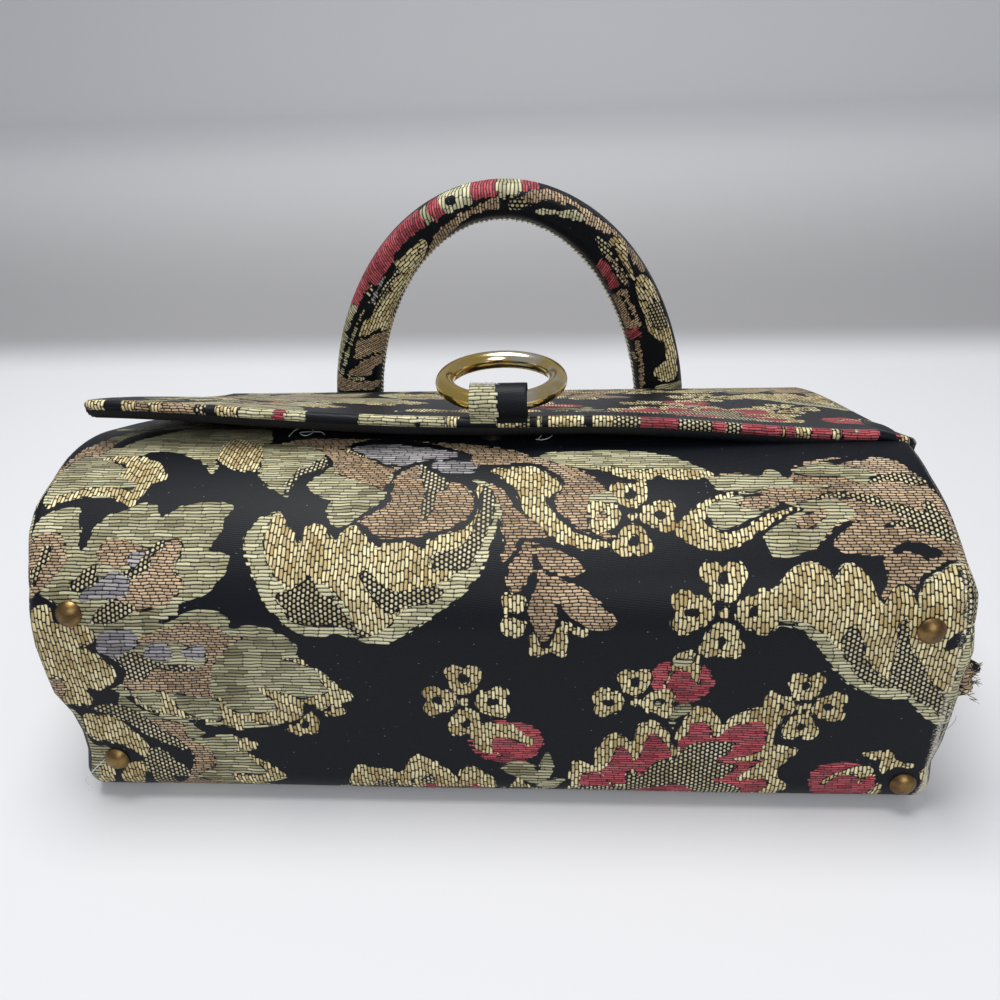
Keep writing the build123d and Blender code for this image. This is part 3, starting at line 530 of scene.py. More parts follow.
# finishes: the colours of each kind of float, lit and shaded
clothColours = {"ground": "#05080f", "groundLit": "#1b2430", "gap": "#0b0c0e",
                "gold": ("#f6ebbc", "#a99260"), "sage": ("#d2cfab", "#7a7559"),
                "tan": ("#d3b898", "#8d775f"), "rose": ("#d0626c", "#85343e"),
                "lavender": ("#b7b4b6", "#77747a"), "dots": ("#e2dab8", "#a0946f"),
                "cream": ("#e4e0ba", "#9c997a")}
# way, pitch, length, stagger from row to row, luck of each row, side gap and end gap
floatKinds = {"gold": ("up", 1.2, 3.5, 0.37, 0.5, 0.07, 0.0),
              "sage": ("across", 1.2, 6.0, 0.43, 1.0, 0.1, 0.3),
              "tan": ("across", 1.0, 2.6, 0.31, 0.45, 0.1, 0.1),
              "rose": ("across", 0.95, 4.2, 0.38, 0.4, 0.08, 0.2),
              "lavender": ("across", 1.25, 4.5, 0.5, 1.0, 0.08, 0.2),
              "dots": ("up", 1.35, 1.6, 0.5, 0.12, 0.2, 0.0),
              "cream": ("across", 1.2, 4.6, 0.4, 1.0, 0.04, 0.2)}


def brocadeMaterial(name, settings):
    look = Look(name)
    across, up, wear = look.parts(look.attribute("clothPlace"))
    depth = dict(zip(brocadeKinds, look.parts(look.attribute("floatsOne"))
                     + look.parts(look.attribute("floatsTwo"))
                     + look.parts(look.attribute("floatsThree"))[:1]))
    cloud = look.noise(look.joined(across * 0.045, up * 0.045), 1.0, 2.0)
    grain = look.noise(look.joined(across * 2.3, up * 2.3), 1.0, 2.0)
    drift = (look.noise(look.joined(across * 0.16, up * 0.16, 4.0), 1.0, 1.0) - 0.5) * settings["drift"]
    rib = ((up + across * 0.12) * 8.5).sine()
    satin = look.noise(look.joined(across * 2.6 + up * 2.0, up * 2.9 - across * 0.8, 6.0),
                       1.0, 2.0, 0.7)
    ground = look.mix(satin.step(0.48, 0.75) * (0.55 + rib * 0.2), ink(clothColours["ground"]),
                      ink(clothColours["groundLit"]))
    colour, height, thread = ground, rib * 0.04 + grain * 0.08, 0.0
    for number, kind in enumerate(brocadeKinds):
        way, pitch, length, stagger, chance, gap, endGap = floatKinds[kind]
        along, side = (up, across) if way == "up" else (across, up)
        side = side + drift
        row = (side / pitch).floor()
        phase = along / length + row * stagger + look.chance(row, number + 1.0) * chance
        edge = abs((side / pitch).share() - 0.5) * 2
        past = (abs(phase.share() - 0.5) * (2 * length / pitch) - length / pitch + 1 - endGap).high(0.0)
        edge = (edge * edge + past * past) ** 0.5
        show = 1 - edge.step(0.72 - gap, 1.0 - gap)
        luck = look.chance(row, phase.floor(), number + 0.5)
        inside = ((luck - 0.5) * settings["ragged"] - depth[kind]).step(-0.1, 0.1)
        pale, deep = map(ink, clothColours[kind])
        tone = look.mix(cloud.step(0.35, 0.65) * 0.4 + luck * 0.75 + grain * 0.5 - 0.4, deep, pale)
        # painted shade: each float darkens towards its edges, where its rounded sides turn from the
        # light
        tone = look.mix(edge ** 2 * 0.7, tone, ink(settings["side"]))
        woven = look.mix(show, ink(clothColours["gap"]), tone)
        colour = look.mix(inside, colour, woven)
        height = height + inside * show * (1 - edge * edge * 0.8)
        thread = inside * show + thread
    hairs = look.noise(look.joined(across * 1.1, up * 3.7, 9.0), 1.0, 3.0, 0.7)
    colour = look.mix((hairs + wear * 0.55 - 0.78).step(0.0, 0.12) * 0.8, colour, ink("#cfcabb"))
    lint = look.noise(look.joined(across * 0.75, up * 1.25, 2.0), 1.0, 0.0)
    colour = look.mix(lint.step(0.83, 0.87) * 0.22, colour, ink("#d8d8d4"))
    normal = look.bump(height, 0.00028, 0.9)
    return look.finish(colour, 0.48 + thread * 0.16, normal,
                       **{"Specular IOR Level": 0.18, "Sheen Weight": 0.01, "Sheen Roughness": 0.4})


def satinMaterial(name, tone, lit):
    look = Look(name)
    x, y, z = look.parts(look.place())
    grain = look.noise(look.joined(x * 900, y * 900, z * 900), 1.0, 2.0)
    cloud = look.noise(look.joined(x * 40, y * 40, z * 40), 1.0, 3.0)
    twill = ((x + (y + z) * 0.8) * 5200).sine()
    colour = look.mix(grain.step(0.4, 0.8) * 0.5 + cloud * 0.2, ink(tone), ink(lit))
    normal = look.bump(twill * 0.3 + cloud * 1.2, 0.0001, 0.6)
    return look.finish(colour, 0.5 + grain * 0.2, normal, **{"Specular IOR Level": 0.25})


def threadMaterial(name, pale, deep):
    look = Look(name)
    ply = look.noise(look.place(), 900, 2.0)
    colour = look.mix(ply.step(0.3, 0.7), ink(deep), ink(pale))
    return look.finish(colour, 0.6, look.bump(ply, 0.0001, 0.5), **{"Specular IOR Level": 0.3})


def metalMaterial(name, bright, dull, patina, roughness, wearScale, spots):
    look = Look(name)
    place = look.place()
    cloud = look.noise(place, wearScale, 4.0, 0.6)
    scratch = look.noise(place, wearScale * 9, 3.0, 0.7)
    colour = look.mix(cloud.step(0.35, 0.65), ink(bright), ink(dull))
    colour = look.mix(scratch.step(0.55, 0.75) * spots, colour, ink(patina))
    rough = roughness + cloud * 0.1 + scratch * 0.08
    return look.finish(colour, rough, look.bump(scratch, 0.00003, 0.5), **{"Metallic": 1.0})


def ringMaterial(name):
    # pale gold plate, with painted highlights: silver patches where the gold would shine
    look = Look(name)
    x = look.parts(look.place())[0]
    cloud = look.noise(look.place(), 70, 4.0, 0.6)
    # painted highlight: silver patches and faint stripes stand in for the ring's bright reflections
    silverHighlight = (cloud * 1.5 + (x * 140).sine() * 0.2).step(0.62, 1.1)
    colour = look.mix(silverHighlight, ink("#d8b967"), ink("#dcd6c6"))
    scratch = look.noise(look.place(), 800, 3.0, 0.7)
    colour = look.mix(scratch.step(0.62, 0.8) * 0.35, colour, ink("#8d7b4c"))
    return look.finish(colour, 0.1 + cloud * 0.12, look.bump(cloud + scratch * 0.1, 0.0002, 0.35),
                       **{"Metallic": 1.0})


def boardMaterial(name):
    look = Look(name)
    fibres = look.noise(look.place(), 600, 3.0)
    colour = look.mix(fibres, ink("#9b8b74"), ink("#b9a98f"))
    return look.finish(colour, 0.85, look.bump(fibres, 0.0001, 0.5))


# the side colour is painted shade along the edges of each float
brocadeCloth = brocadeMaterial("brocade", {"ragged": 1.1, "drift": 1.1, "side": "#3f3a2e"})
satinLining = satinMaterial("black_satin", "#050609", "#12151c")
threadPale = threadMaterial("thread_pale", "#e9e3cc", "#a59c82")
threadDark = threadMaterial("thread_dark", "#1d2029", "#07080b")
threadWhite = threadMaterial("thread_white", "#e4e6ea", "#b9bcc2")
giltMetal = ringMaterial("gilt_metal")
agedBrass = metalMaterial("aged_brass", "#8a6f45", "#5d4a33", "#2e2620", 0.3, 160, 0.8)
snapMetal = metalMaterial("snap_metal", "#2c2a28", "#1d1c1b", "#100f0f", 0.45, 200, 0.8)
stiffener = boardMaterial("stiffener")
nodeFinishes = {"ring": giltMetal, "foot": agedBrass, "snap": snapMetal, "back_board": stiffener,
                "bottom_board": stiffener, "front_board": stiffener, "flap_top_board": stiffener,
                "flap_front_board": stiffener, "handle_core": stiffener}
for nodeName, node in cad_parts.items():
    for start, finish in nodeFinishes.items():
        if nodeName.startswith(start) and nodeName != "ring_loop":
            node.data.materials.clear()
            node.data.materials.append(finish)
            node.data.polygons.foreach_set("use_smooth", [start in ("ring", "foot", "snap")]
                                           * len(node.data.polygons))
print("finishes made")


def nodeOf(tree, kind, settings=None, inputs=None):
    made = tree.nodes.new(kind)
    for key, value in (settings or {}).items():
        setattr(made, key, value)
    for key, value in (inputs or {}).items():
        if isinstance(value, bpy.types.NodeSocket):
            tree.links.new(value, made.inputs[key])
        else:
            made.inputs[key].default_value = value
    return made


def stitchTree():
    # threads laid one by one along a line, each in the direction that the line's points give
    tree = bpy.data.node_groups.new("thread_row", "GeometryNodeTree")
    for name, kind in (("Geometry", "Geometry"), ("Spacing", "Float"), ("Length", "Float"),
                       ("Thick", "Float"), ("Play", "Float"), ("Seed", "Int"), ("Thread", "Material")):
        tree.interface.new_socket(name, in_out="INPUT", socket_type="NodeSocket" + kind)
    tree.interface.new_socket("Geometry", in_out="OUTPUT", socket_type="NodeSocketGeometry")
    given = tree.nodes.new("NodeGroupInput").outputs
    line = nodeOf(tree, "GeometryNodeMeshToCurve", None, {"Mesh": given["Geometry"]})
    spaced = nodeOf(tree, "GeometryNodeResampleCurve", {"mode": "LENGTH"},
                    {"Curve": line.outputs[0], "Length": given["Spacing"]})
    ball = nodeOf(tree, "GeometryNodeMeshUVSphere", None, {"Segments": 7, "Rings": 6, "Radius": 0.5})
    way = nodeOf(tree, "GeometryNodeInputNamedAttribute", {"data_type": "FLOAT_VECTOR"},
                 {"Name": "stitchWay"})
    luck = nodeOf(tree, "FunctionNodeRandomValue", {"data_type": "FLOAT_VECTOR"},
                  {0: (-1, -1, -1), 1: (1, 1, 1), "Seed": given["Seed"]})
    scaled = nodeOf(tree, "ShaderNodeVectorMath", {"operation": "SCALE"},
                    {0: luck.outputs[0], "Scale": given["Play"]})
    added = nodeOf(tree, "ShaderNodeVectorMath", {"operation": "ADD"},
                   {0: way.outputs[0], 1: scaled.outputs[0]})
    turned = nodeOf(tree, "FunctionNodeAlignRotationToVector", {"axis": "X"},
                    {"Vector": added.outputs[0]})
    longer = nodeOf(tree, "FunctionNodeRandomValue", {"data_type": "FLOAT"}, None)
    longer.inputs[2].default_value, longer.inputs[3].default_value = 0.75, 1.25
    reach = nodeOf(tree, "ShaderNodeMath", {"operation": "MULTIPLY"},
                   {0: longer.outputs[1], 1: given["Length"]})
    size = nodeOf(tree, "ShaderNodeCombineXYZ", None,
                  {0: reach.outputs[0], 1: given["Thick"], 2: given["Thick"]})
    placed = nodeOf(tree, "GeometryNodeInstanceOnPoints", None,
                    {"Points": spaced.outputs[0], "Instance": ball.outputs[0],
                     "Rotation": turned.outputs[0], "Scale": size.outputs[0]})
    real = nodeOf(tree, "GeometryNodeRealizeInstances", None, {0: placed.outputs[0]})
    done = nodeOf(tree, "GeometryNodeSetMaterial", None,
                  {"Geometry": real.outputs[0], "Material": given["Thread"]})
    nodeOf(tree, "NodeGroupOutput", None, {0: done.outputs[0]})
    return tree


threadTree = stitchTree()


def threadRow(name, line, ways, settings, material):
    mesh = bpy.data.meshes.new(name)
    mesh.from_pydata(toFrame(line).tolist(), [(i, i + 1) for i in range(len(line) - 1)], [])
    attribute = mesh.attributes.new("stitchWay", "FLOAT_VECTOR", "POINT")
    attribute.data.foreach_set("vector", np.asarray(ways, np.float32).ravel())
    row = bpy.data.objects.new(name, mesh)
    scene.collection.objects.link(row)
    modifier = row.modifiers.new("threads", "NODES")
    modifier.node_group = threadTree
    values = {"Spacing": settings["spacing"] / 1000, "Length": settings["length"] / 1000,
              "Thick": settings["thick"] / 1000, "Play": settings["play"], "Seed": settings["seed"],
              "Thread": material}
    for item in threadTree.interface.items_tree:
        if item.name in values and item.in_out == "INPUT":
            modifier[item.identifier] = values[item.name]
    row.update_tag()
    bpy.context.view_layer.update()
    baked = bpy.data.meshes.new_from_object(row.evaluated_get(bpy.context.evaluated_depsgraph_get()))
    row.modifiers.clear()
    row.data = baked
    baked.polygons.foreach_set("use_smooth", [True] * len(baked.polygons))
    return row


def tubeAlong(name, points, radius, material, sides=6):
    # a thin thread through smooth points
    p = np.asarray(points, float)
    t = np.linspace(0, len(p) - 1, 8 * (len(p) - 1) + 1)
    padded = np.concatenate([[2 * p[0] - p[1]], p, [2 * p[-1] - p[-2]]])
    i = np.minimum(t.astype(int), len(p) - 2)
    f = (t - i)[:, None]
    a, b, c, d = padded[i], padded[i + 1], padded[i + 2], padded[i + 3]
    line = 0.5 * (2 * b + (c - a) * f + (2 * a - 5 * b + 4 * c - d) * f ** 2
                  + (3 * b - a - 3 * c + d) * f ** 3)
    ways = np.gradient(line, axis=0)
    ways /= np.linalg.norm(ways, axis=1)[:, None] + 1e-9
    side = np.cross(ways, (0.3, 0.2, 1.0))
    side /= np.linalg.norm(side, axis=1)[:, None] + 1e-9
    other = np.cross(ways, side)
    angle = np.arange(sides) / sides * 2 * pi
    rings = line[:, None] + radius * (side[:, None] * np.cos(angle)[:, None]
                                      + other[:, None] * np.sin(angle)[:, None])
    faces = gridFaces(len(line), sides, closed=True).tolist()
    faces += [list(range(sides))[::-1], [(len(line) - 1) * sides + k for k in range(sides)]]
    return newPiece(name, rings.reshape(-1, 3), faces, material)


# body
body = {"halfWidth": 142, "mouth": 193, "lean": 6, "bottomFlat": 56, "corner": 11, "roundOver": 26,
        "belly": 75, "shoulder": 38, "fall": 21, "sideRadius": 4.5, "seam": 138.6, "wall": 4, "hem": 2,
        "hemRun": 9, "foldStart": 66, "foldDepth": 17, "foldHalf": 20, "foldZ": 32, "heart": 34,
        "gussetReach": 40, "fine": 1.12, "coarse": 2.2,
        # how far the soft sides stand out or in, at places up the cloth, left and right
        "spreadAt": (-30, -8, 0, 8, 16, 24, 32, 40, 50, 60, 70, 80, 90, 100, 112, 125, 160),
        "spreadLeft": (0, -3.6, -3.6, -5.4, -5.4, -3.8, 0.3, 1.0, 1.5, 0.6, 0.2, 2.0, 4.6, 5.8,
                       5.0, 6.0, 7.0),
        "spreadRight": (0, 0, 0, -0.8, 1.0, 1.8, 2.4, 2.6, 3.6, 2.0, 2.7, 0.8, 0.0, -0.6, -1.8,
                        -2.0, -2.0)}


def offset(centre, radius, heading):
    return (centre[0] - radius * sin(radians(heading)), centre[1] + radius * cos(radians(heading)))


def bodyOutline():
    # places (length of cloth, y, z, heading) from the back of the mouth round to its front
    rise = 90 - body["lean"]
    corner = (body["corner"], body["corner"])
    low = offset(corner, body["corner"], rise)
    high = (low[0] + body["bottomFlat"] * cos(radians(rise)),
            low[1] + body["bottomFlat"] * sin(radians(rise)))
    roundCentre = offset(high, -body["roundOver"], rise)
    shoulder = offset(roundCentre, body["roundOver"], body["shoulder"])
    bellyCentre = offset(shoulder, -body["belly"], body["shoulder"])
    rows = [(y, 0, 180) for y in np.linspace(body["mouth"], body["corner"], 60)]
    rows += [offset(corner, body["corner"], h) + (h,) for h in np.linspace(180, rise, 40)[1:]]
    start = len(rows) - 1
    rows += [offset(roundCentre, body["roundOver"], h) + (h,)
             for h in np.linspace(rise, body["shoulder"], 40)]
    rows += [offset(bellyCentre, body["belly"], h) + (h,)
             for h in np.linspace(body["shoulder"], -body["fall"], 60)[1:]]
    y, z = rows[-1][:2]
    rows.append((body["mouth"], z - (body["mouth"] - y) * tan(radians(body["fall"])), -body["fall"]))
    rows = np.array(rows)
    lengths = np.concatenate([[0], np.cumsum(np.hypot(*np.diff(rows[:, :2], axis=0).T))])
    return np.column_stack([lengths - lengths[start], rows])


outline = bodyOutline()
backEnd, frontEnd = outline[0, 0], outline[-1, 0]
roundStart = body["halfWidth"] - body["sideRadius"]
roundEnd = roundStart + body["sideRadius"] * pi / 2


def softly(x, low, high):
    t = np.clip((x - low) / (high - low), 0, 1)
    return t * t * (3 - 2 * t)


def outlineAt(v):
    y, z, heading = (np.interp(v, outline[:, 0], outline[:, k]) for k in (1, 2, 3))
    return y, z, np.radians(heading)


def bodyPoint(v, w, inset=0.0):
    # a place on the body: v up the cloth from the bottom edge, w across it from the middle
    v, w = np.broadcast_arrays(np.asarray(v, float), np.asarray(w, float))
    y, z, heading = outlineAt(v)
    ny, nz = -np.sin(heading), np.cos(heading)
    radius = body["sideRadius"] - inset
    angle = np.clip((np.abs(w) - roundStart) / body["sideRadius"], 0, pi / 2)
    x = np.minimum(np.abs(w), roundStart) + radius * np.sin(angle)
    down = inset + radius * (1 - np.cos(angle))
    y, z = y - ny * down, z - nz * down
    share = np.clip((np.abs(w) - roundEnd) / body["gussetReach"], 0, 1)
    heartY = np.clip(y, body["heart"], body["mouth"])
    y, z = y + (heartY - y) * share, z + (body["foldZ"] - z) * share
    along = np.clip((y - body["foldStart"]) / (body["mouth"] - body["foldStart"]), 0, 1.1)
    tall = np.maximum(body["foldHalf"] * along, 1e-3)
    slope = np.clip(1 - np.sqrt(((z - body["foldZ"]) / tall) ** 2 + 0.004), 0, 1)
    x = x - body["foldDepth"] * along * slope * softly(share, 0, 0.25)
    left, right = (np.interp(v, body["spreadAt"], body[k]) for k in ("spreadLeft", "spreadRight"))
    x = x + np.where(w < 0, left, right) * softly(x, 60, 134) * (1 - softly(share, 0.1, 1))
    return np.stack([np.sign(w) * x, y, z], -1)


def bodyLooseness(points):
    # what the soft cloth does over its boards: slow waves of a fraction of a millimetre
    x, y, z = points[..., 0], points[..., 1], points[..., 2]
    wave = 0.35 * np.sin(x / 17 + z / 23) * np.sin(y / 19 - z / 15 + 1)
    dent = -0.8 * np.exp(-((y - 4) / 12) ** 2 - ((z - 42) / 22) ** 2 - ((x + 60) / 45) ** 2)
    return points + np.stack([0 * x, wave * 0.5 * softly(-y, -20, -4) - dent * softly(-y, -20, -4),
                              wave * softly(z, 8, 30)], -1)


def bodyNominal(w):
    # x of a place w across the cloth, before any spread
    angle = np.clip((np.abs(w) - roundStart) / body["sideRadius"], 0, pi / 2)
    return np.minimum(np.abs(w), roundStart) + body["sideRadius"] * np.sin(angle)


def bodySheet(name, across, material):
    lipY = body["mouth"] - body["hem"]
    back = backEnd + body["hem"]
    front = frontEnd - body["hem"] / cos(radians(body["fall"]))
    middle = np.concatenate([np.arange(back, -14, body["coarse"]), np.arange(-14, 150, body["fine"]),
                             np.arange(150, front, 1.6), [front]])
    turns = np.linspace(0, pi, 9)[1:]
    runs = np.linspace(0, body["hemRun"], 6)[1:]
    hemRows = []
    for v in (back, front):
        outer, inner = bodyPoint(v, across), bodyPoint(v, across, body["wall"])
        inner[:, 1] = outer[:, 1] = lipY
        rows = [outer + (inner - outer) * (1 - cos(t)) / 2 + (0, body["hem"] * sin(t), 0)
                for t in turns]
        rows += [inner - (0, run, 0) for run in runs]
        hemRows.append(rows)
    sheet = bodyPoint(middle[:, None], across[None, :])
    points = np.concatenate([np.array(hemRows[0][::-1]), sheet, np.array(hemRows[1])])
    points = bodyLooseness(points)
    extra = np.concatenate([turns * body["hem"], pi * body["hem"] + runs])
    lengths = np.concatenate([back - extra[::-1], middle, front + extra])
    v, u = np.meshgrid(lengths, across, indexing="ij")
    rows, columns = u.shape
    shift = np.abs(points[..., 0]) - np.abs(bodyNominal(across))[None, :]
    u = u + np.sign(u) * shift * (np.abs(u) <= body["seam"] + 1)
    fields = brocadeFields(u, v)
    edge = np.exp(-((np.abs(u) - roundStart - 2) / 2.2) ** 2)
    wear = edge * np.where(u > 0, 0.5 + 0.3 * softly(-v, -60, 10), 0.3) * softly(v, -40, -10)
    wear = wear + 0.22 * np.exp(-((v + 3) / 3.0) ** 2)
    fields["clothPlace"] = np.stack([u, v, wear], -1)
    return newPiece(name, points.reshape(-1, 3), gridFaces(rows, columns), material, fields)


half = np.arange(0, roundStart, body["fine"])
acrossWrap = np.concatenate([half, np.linspace(roundStart, body["seam"], 4)])
acrossWrap = np.concatenate([-acrossWrap[:0:-1], acrossWrap])
bodyWrap = bodySheet("brocade_wrap", acrossWrap, brocadeCloth)
acrossGusset = np.concatenate([np.linspace(body["seam"], roundEnd, 11),
                               np.linspace(roundEnd, roundEnd + body["gussetReach"], 28)[1:]])
gussetLeft = bodySheet("brocade_gusset_left", -acrossGusset[::-1], brocadeCloth)
gussetRight = bodySheet("brocade_gusset_right", acrossGusset, brocadeCloth)
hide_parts("outer_cover")
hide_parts("gusset_left")
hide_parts("gusset_right")

liningRows = np.linspace(backEnd + 4, frontEnd - 4, 150)
acrossLining = np.concatenate([np.linspace(0, roundStart, 60), np.linspace(roundStart, roundEnd, 7)[1:],
                               np.linspace(roundEnd, roundEnd + body["gussetReach"], 14)[1:]])
acrossLining = np.concatenate([-acrossLining[:0:-1], acrossLining])
liningPoints = bodyPoint(liningRows[:, None], acrossLining[None, :], body["wall"])
liningBag = newPiece("satin_lining", liningPoints.reshape(-1, 3),
                     gridFaces(len(liningRows), len(acrossLining), flipped=True), satinLining)
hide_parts("lining")
for piece in (bodyWrap, gussetLeft, gussetRight, liningBag):
    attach(piece, "bag")
print("body made")


# flap
flap = {"half": 140.5, "foot": 0.4, "inner": 195.2, "foldZ": 58.6, "fall": 20.7,
        "foldRadius": 2.5, "thick": 3.6, "reach": 137.8, "point": 5, "corner": 3, "roll": 1.8,
        "margin": 2.6, "step": 1.5, "clothAcross": -15, "clothUp": -25,
        "bulge": 2.8, "bulgeWidth": 16, "lift": 7.2, "sag": (5.4, 3.2),
        "endShift": 1.6, "wave": 0.5, "stripWidth": 3.6}
flapFall = radians(flap["fall"])
flapTurn = pi / 2 - flapFall
flapSetBack = flap["foldRadius"] * tan(flapTurn / 2)
flapTop = flap["foldZ"] - flapSetBack - flap["foot"]
flapBend = (flap["foldRadius"] + flap["thick"]) * flapTurn
flapFront = flap["reach"] - flapSetBack


def flapPath(s):
    # y, z and outward normal along the flap's outer face, from the hinge to the lip
    s = np.asarray(s, float)
    angle = np.clip((s - flapTop) / (flap["foldRadius"] + flap["thick"]), 0, flapTurn)
    centre = (flap["inner"] - flap["foldRadius"], flap["foldZ"] - flapSetBack)
    ny, nz = np.cos(angle), np.sin(angle)
    radius = flap["foldRadius"] + flap["thick"]
    y, z = centre[0] + radius * ny, centre[1] + radius * nz
    before, after = np.minimum(s - flapTop, 0), np.maximum(s - flapTop - flapBend, 0)
    return y - after * cos(flapFall), z + before + after * sin(flapFall), ny, nz


def flapLooseness(points):
    # the lip isn't quite straight: its left end lifts and its right end sags
    x, y = points[..., 0], points[..., 1]
    towardsLip = softly(-y, -190, -66)
    first, last = flap["sag"]
    lift = flap["lift"] * softly(-x, -10, 140) - first * softly(x, 30, 134) - last * softly(x, 126, 142)
    wave = flap["wave"] * np.sin(x / 31 + 0.6)
    sideways = flap["endShift"] * softly(x, 110, 141)
    return points + towardsLip[..., None] * np.stack([sideways, lift * 0.1, lift + wave], -1)


def flapPoint(x, s, depth):
    # depth goes inwards from the outer face; the lip bows out in its middle
    bow = 1 + flap["point"] * (1 - (x / flap["half"]) ** 2) / flapFront
    beyond = np.maximum(s - flapTop - flapBend, 0) * bow
    y, z, ny, nz = flapPath(np.minimum(s, flapTop + flapBend) + beyond)
    return np.stack([x + 0 * y, y - ny * depth, z - nz * depth], -1)


def flapSheet(name, material, settings):
    # a grid whose edges roll over the boards and turn in below them
    flat = flap["corner"]
    step = flap["step"]
    inner = flap["half"] - flat
    endS = flapTop + flapBend + flapFront - flat
    rim = np.concatenate([[0.6, 1.2], 1.2 + np.linspace(0, pi * flap["roll"], 8)[1:],
                          1.2 + pi * flap["roll"] + np.linspace(0, flap["margin"], 3)[1:]])
    a = np.concatenate([-inner - rim[::-1], np.linspace(-inner, inner, int(2 * inner / step)),
                        inner + rim])
    b = np.concatenate([np.linspace(0, endS, int(endS / step)), endS + rim])
    s, x = np.meshgrid(b, a, indexing="ij")
    outX, outS = np.maximum(np.abs(x) - inner, 0), np.maximum(s - endS, 0)
    reach = np.hypot(outX, outS)
    flatPart = flat - flap["roll"]
    turn = np.clip((reach - flatPart) / flap["roll"], 0, pi)
    back = np.maximum(reach - flatPart - pi * flap["roll"], 0)
    far = np.minimum(reach, flatPart) + flap["roll"] * np.sin(turn) - back
    safe = np.maximum(reach, 1e-6)
    px = np.sign(x) * (np.minimum(np.abs(x), inner) + outX / safe * far)
    ps = np.minimum(s, endS) + outS / safe * far
    points = flapLooseness(flapPoint(px, ps, flap["roll"] * (1 - np.cos(turn))))
    lip = endS + flat - s
    fields = brocadeFields(x + settings["clothAcross"], lip + settings["clothUp"])
    strip = clothFields(x, lip, lipPaths)
    onLip = (lip < flap["stripWidth"])[..., None]
    for key in fields:
        fields[key] = np.where(onLip, strip[key], fields[key])
    wear = 0.3 * np.exp(-((lip - 1.5) / 1.6) ** 2) + 0.4 * softly(np.abs(x), 137, 140)
    fields["clothPlace"] = np.stack([x, lip, wear], -1)
    return newPiece(name, points.reshape(-1, 3), gridFaces(*s.shape, flipped=True), material, fields)


# what the lip's rolled edge shows, as runs along it
lipRuns = (
    ("gold", -140.5, -132.7), ("ground", -132.7, -126.7), ("gold", -126.7, -120.7),
    ("tan", -120.7, -116.5), ("gold", -116.5, -112), ("tan", -112, -100.4),
    ("dots", -99.7, -97), ("gold", -93.1, -85.2), ("cream", -85.2, -73.4),
    ("rose", -73.4, -69.3), ("cream", -69.3, -62.4), ("ground", -62.4, -45),
    ("cream", -44.6, -24.9), ("cream", -23.9, -15.5), ("gold", -15.2, -11.1),
    ("ground", -11.1, 1.6), ("gold", 1.9, 8.6), ("dots", 8.9, 13.3),
    ("gold", 14.6, 17.3), ("gold", 18.9, 30.8), ("ground", 30.8, 33.8),
    ("gold", 33.8, 40.4), ("dots", 40.4, 48.9), ("rose", 48.9, 61.7),
    ("dots", 61.7, 72.7), ("rose", 72.7, 76.9), ("dots", 76.9, 82.1),
    ("rose", 82.1, 95.6), ("gold", 95.6, 96.9), ("rose", 97.2, 100.4),
    ("gold", 100.4, 105.2), ("rose", 105.9, 111.9), ("gold", 111.9, 114.8),
    ("rose", 115.5, 119.6), ("cream", 119.6, 120.5), ("rose", 120.5, 126.9),
    ("ground", 126.9, 132.3), ("rose", 132.3, 133.8), ("gold", 133.8, 137))
lipPaths = [(kind, np.array([(a, -14), (b, -14), (b + 0.6, 5), (a + 0.6, 5)]))
            for kind, a, b in lipRuns]
flapCloth = flapSheet("brocade_flap", brocadeCloth, flap)


def liningSheet():
    # the flap's lining, fuller in a band along its free edges; the band is partly the lining's own
    # fullness and partly a dark sheet hung where the lip casts shade
    near = np.array([0, 0.3, 0.8, 1.5, 2.5, 4, 6, 8.5, 11, 13.5])
    inset, end = 0.9, flapTop + flapBend + flapFront
    plain = 17          # where the even spacing starts, from the edge
    xs = np.concatenate([-flap["half"] + inset + near,
                         np.linspace(-flap["half"] + plain, flap["half"] - plain, 110),
                         flap["half"] - inset - near[::-1]])
    ss = np.concatenate([np.linspace(0.5, end - plain, 90), end - inset - near[::-1]])
    s, x = np.meshgrid(ss, xs, indexing="ij")
    edge = np.minimum(flap["half"] - inset - np.abs(x), end - inset - s)
    edge = np.where(s < flapTop + flapBend + 10, 20, edge)
    rise = np.sqrt(np.clip(1 - (1 - np.clip(edge / 2.5, 0, 1)) ** 2, 0, 1))
    fade = 1 - softly(edge, 3, flap["bulgeWidth"])
    ripple = 0.25 * np.sin(x / 7.0) * np.sin(s / 9.0)
    # the fuller band along the free edges hangs the dark lining lower, partly in place of the shade
    # under the lip
    depth = flap["thick"] - 1.3 + 1.2 * rise + (flap["bulge"] + ripple) * rise * fade
    return newPiece("satin_flap_lining", flapLooseness(flapPoint(x, s, depth)).reshape(-1, 3),
                    gridFaces(*s.shape), satinLining)


liningOfFlap = liningSheet()
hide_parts("flap_cover", "flap_front_board")
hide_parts("flap_lining")
for piece, finish in ((flapCloth, "brocade"), (liningOfFlap, "satin")):
    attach(piece, "flap")
print("flap made")

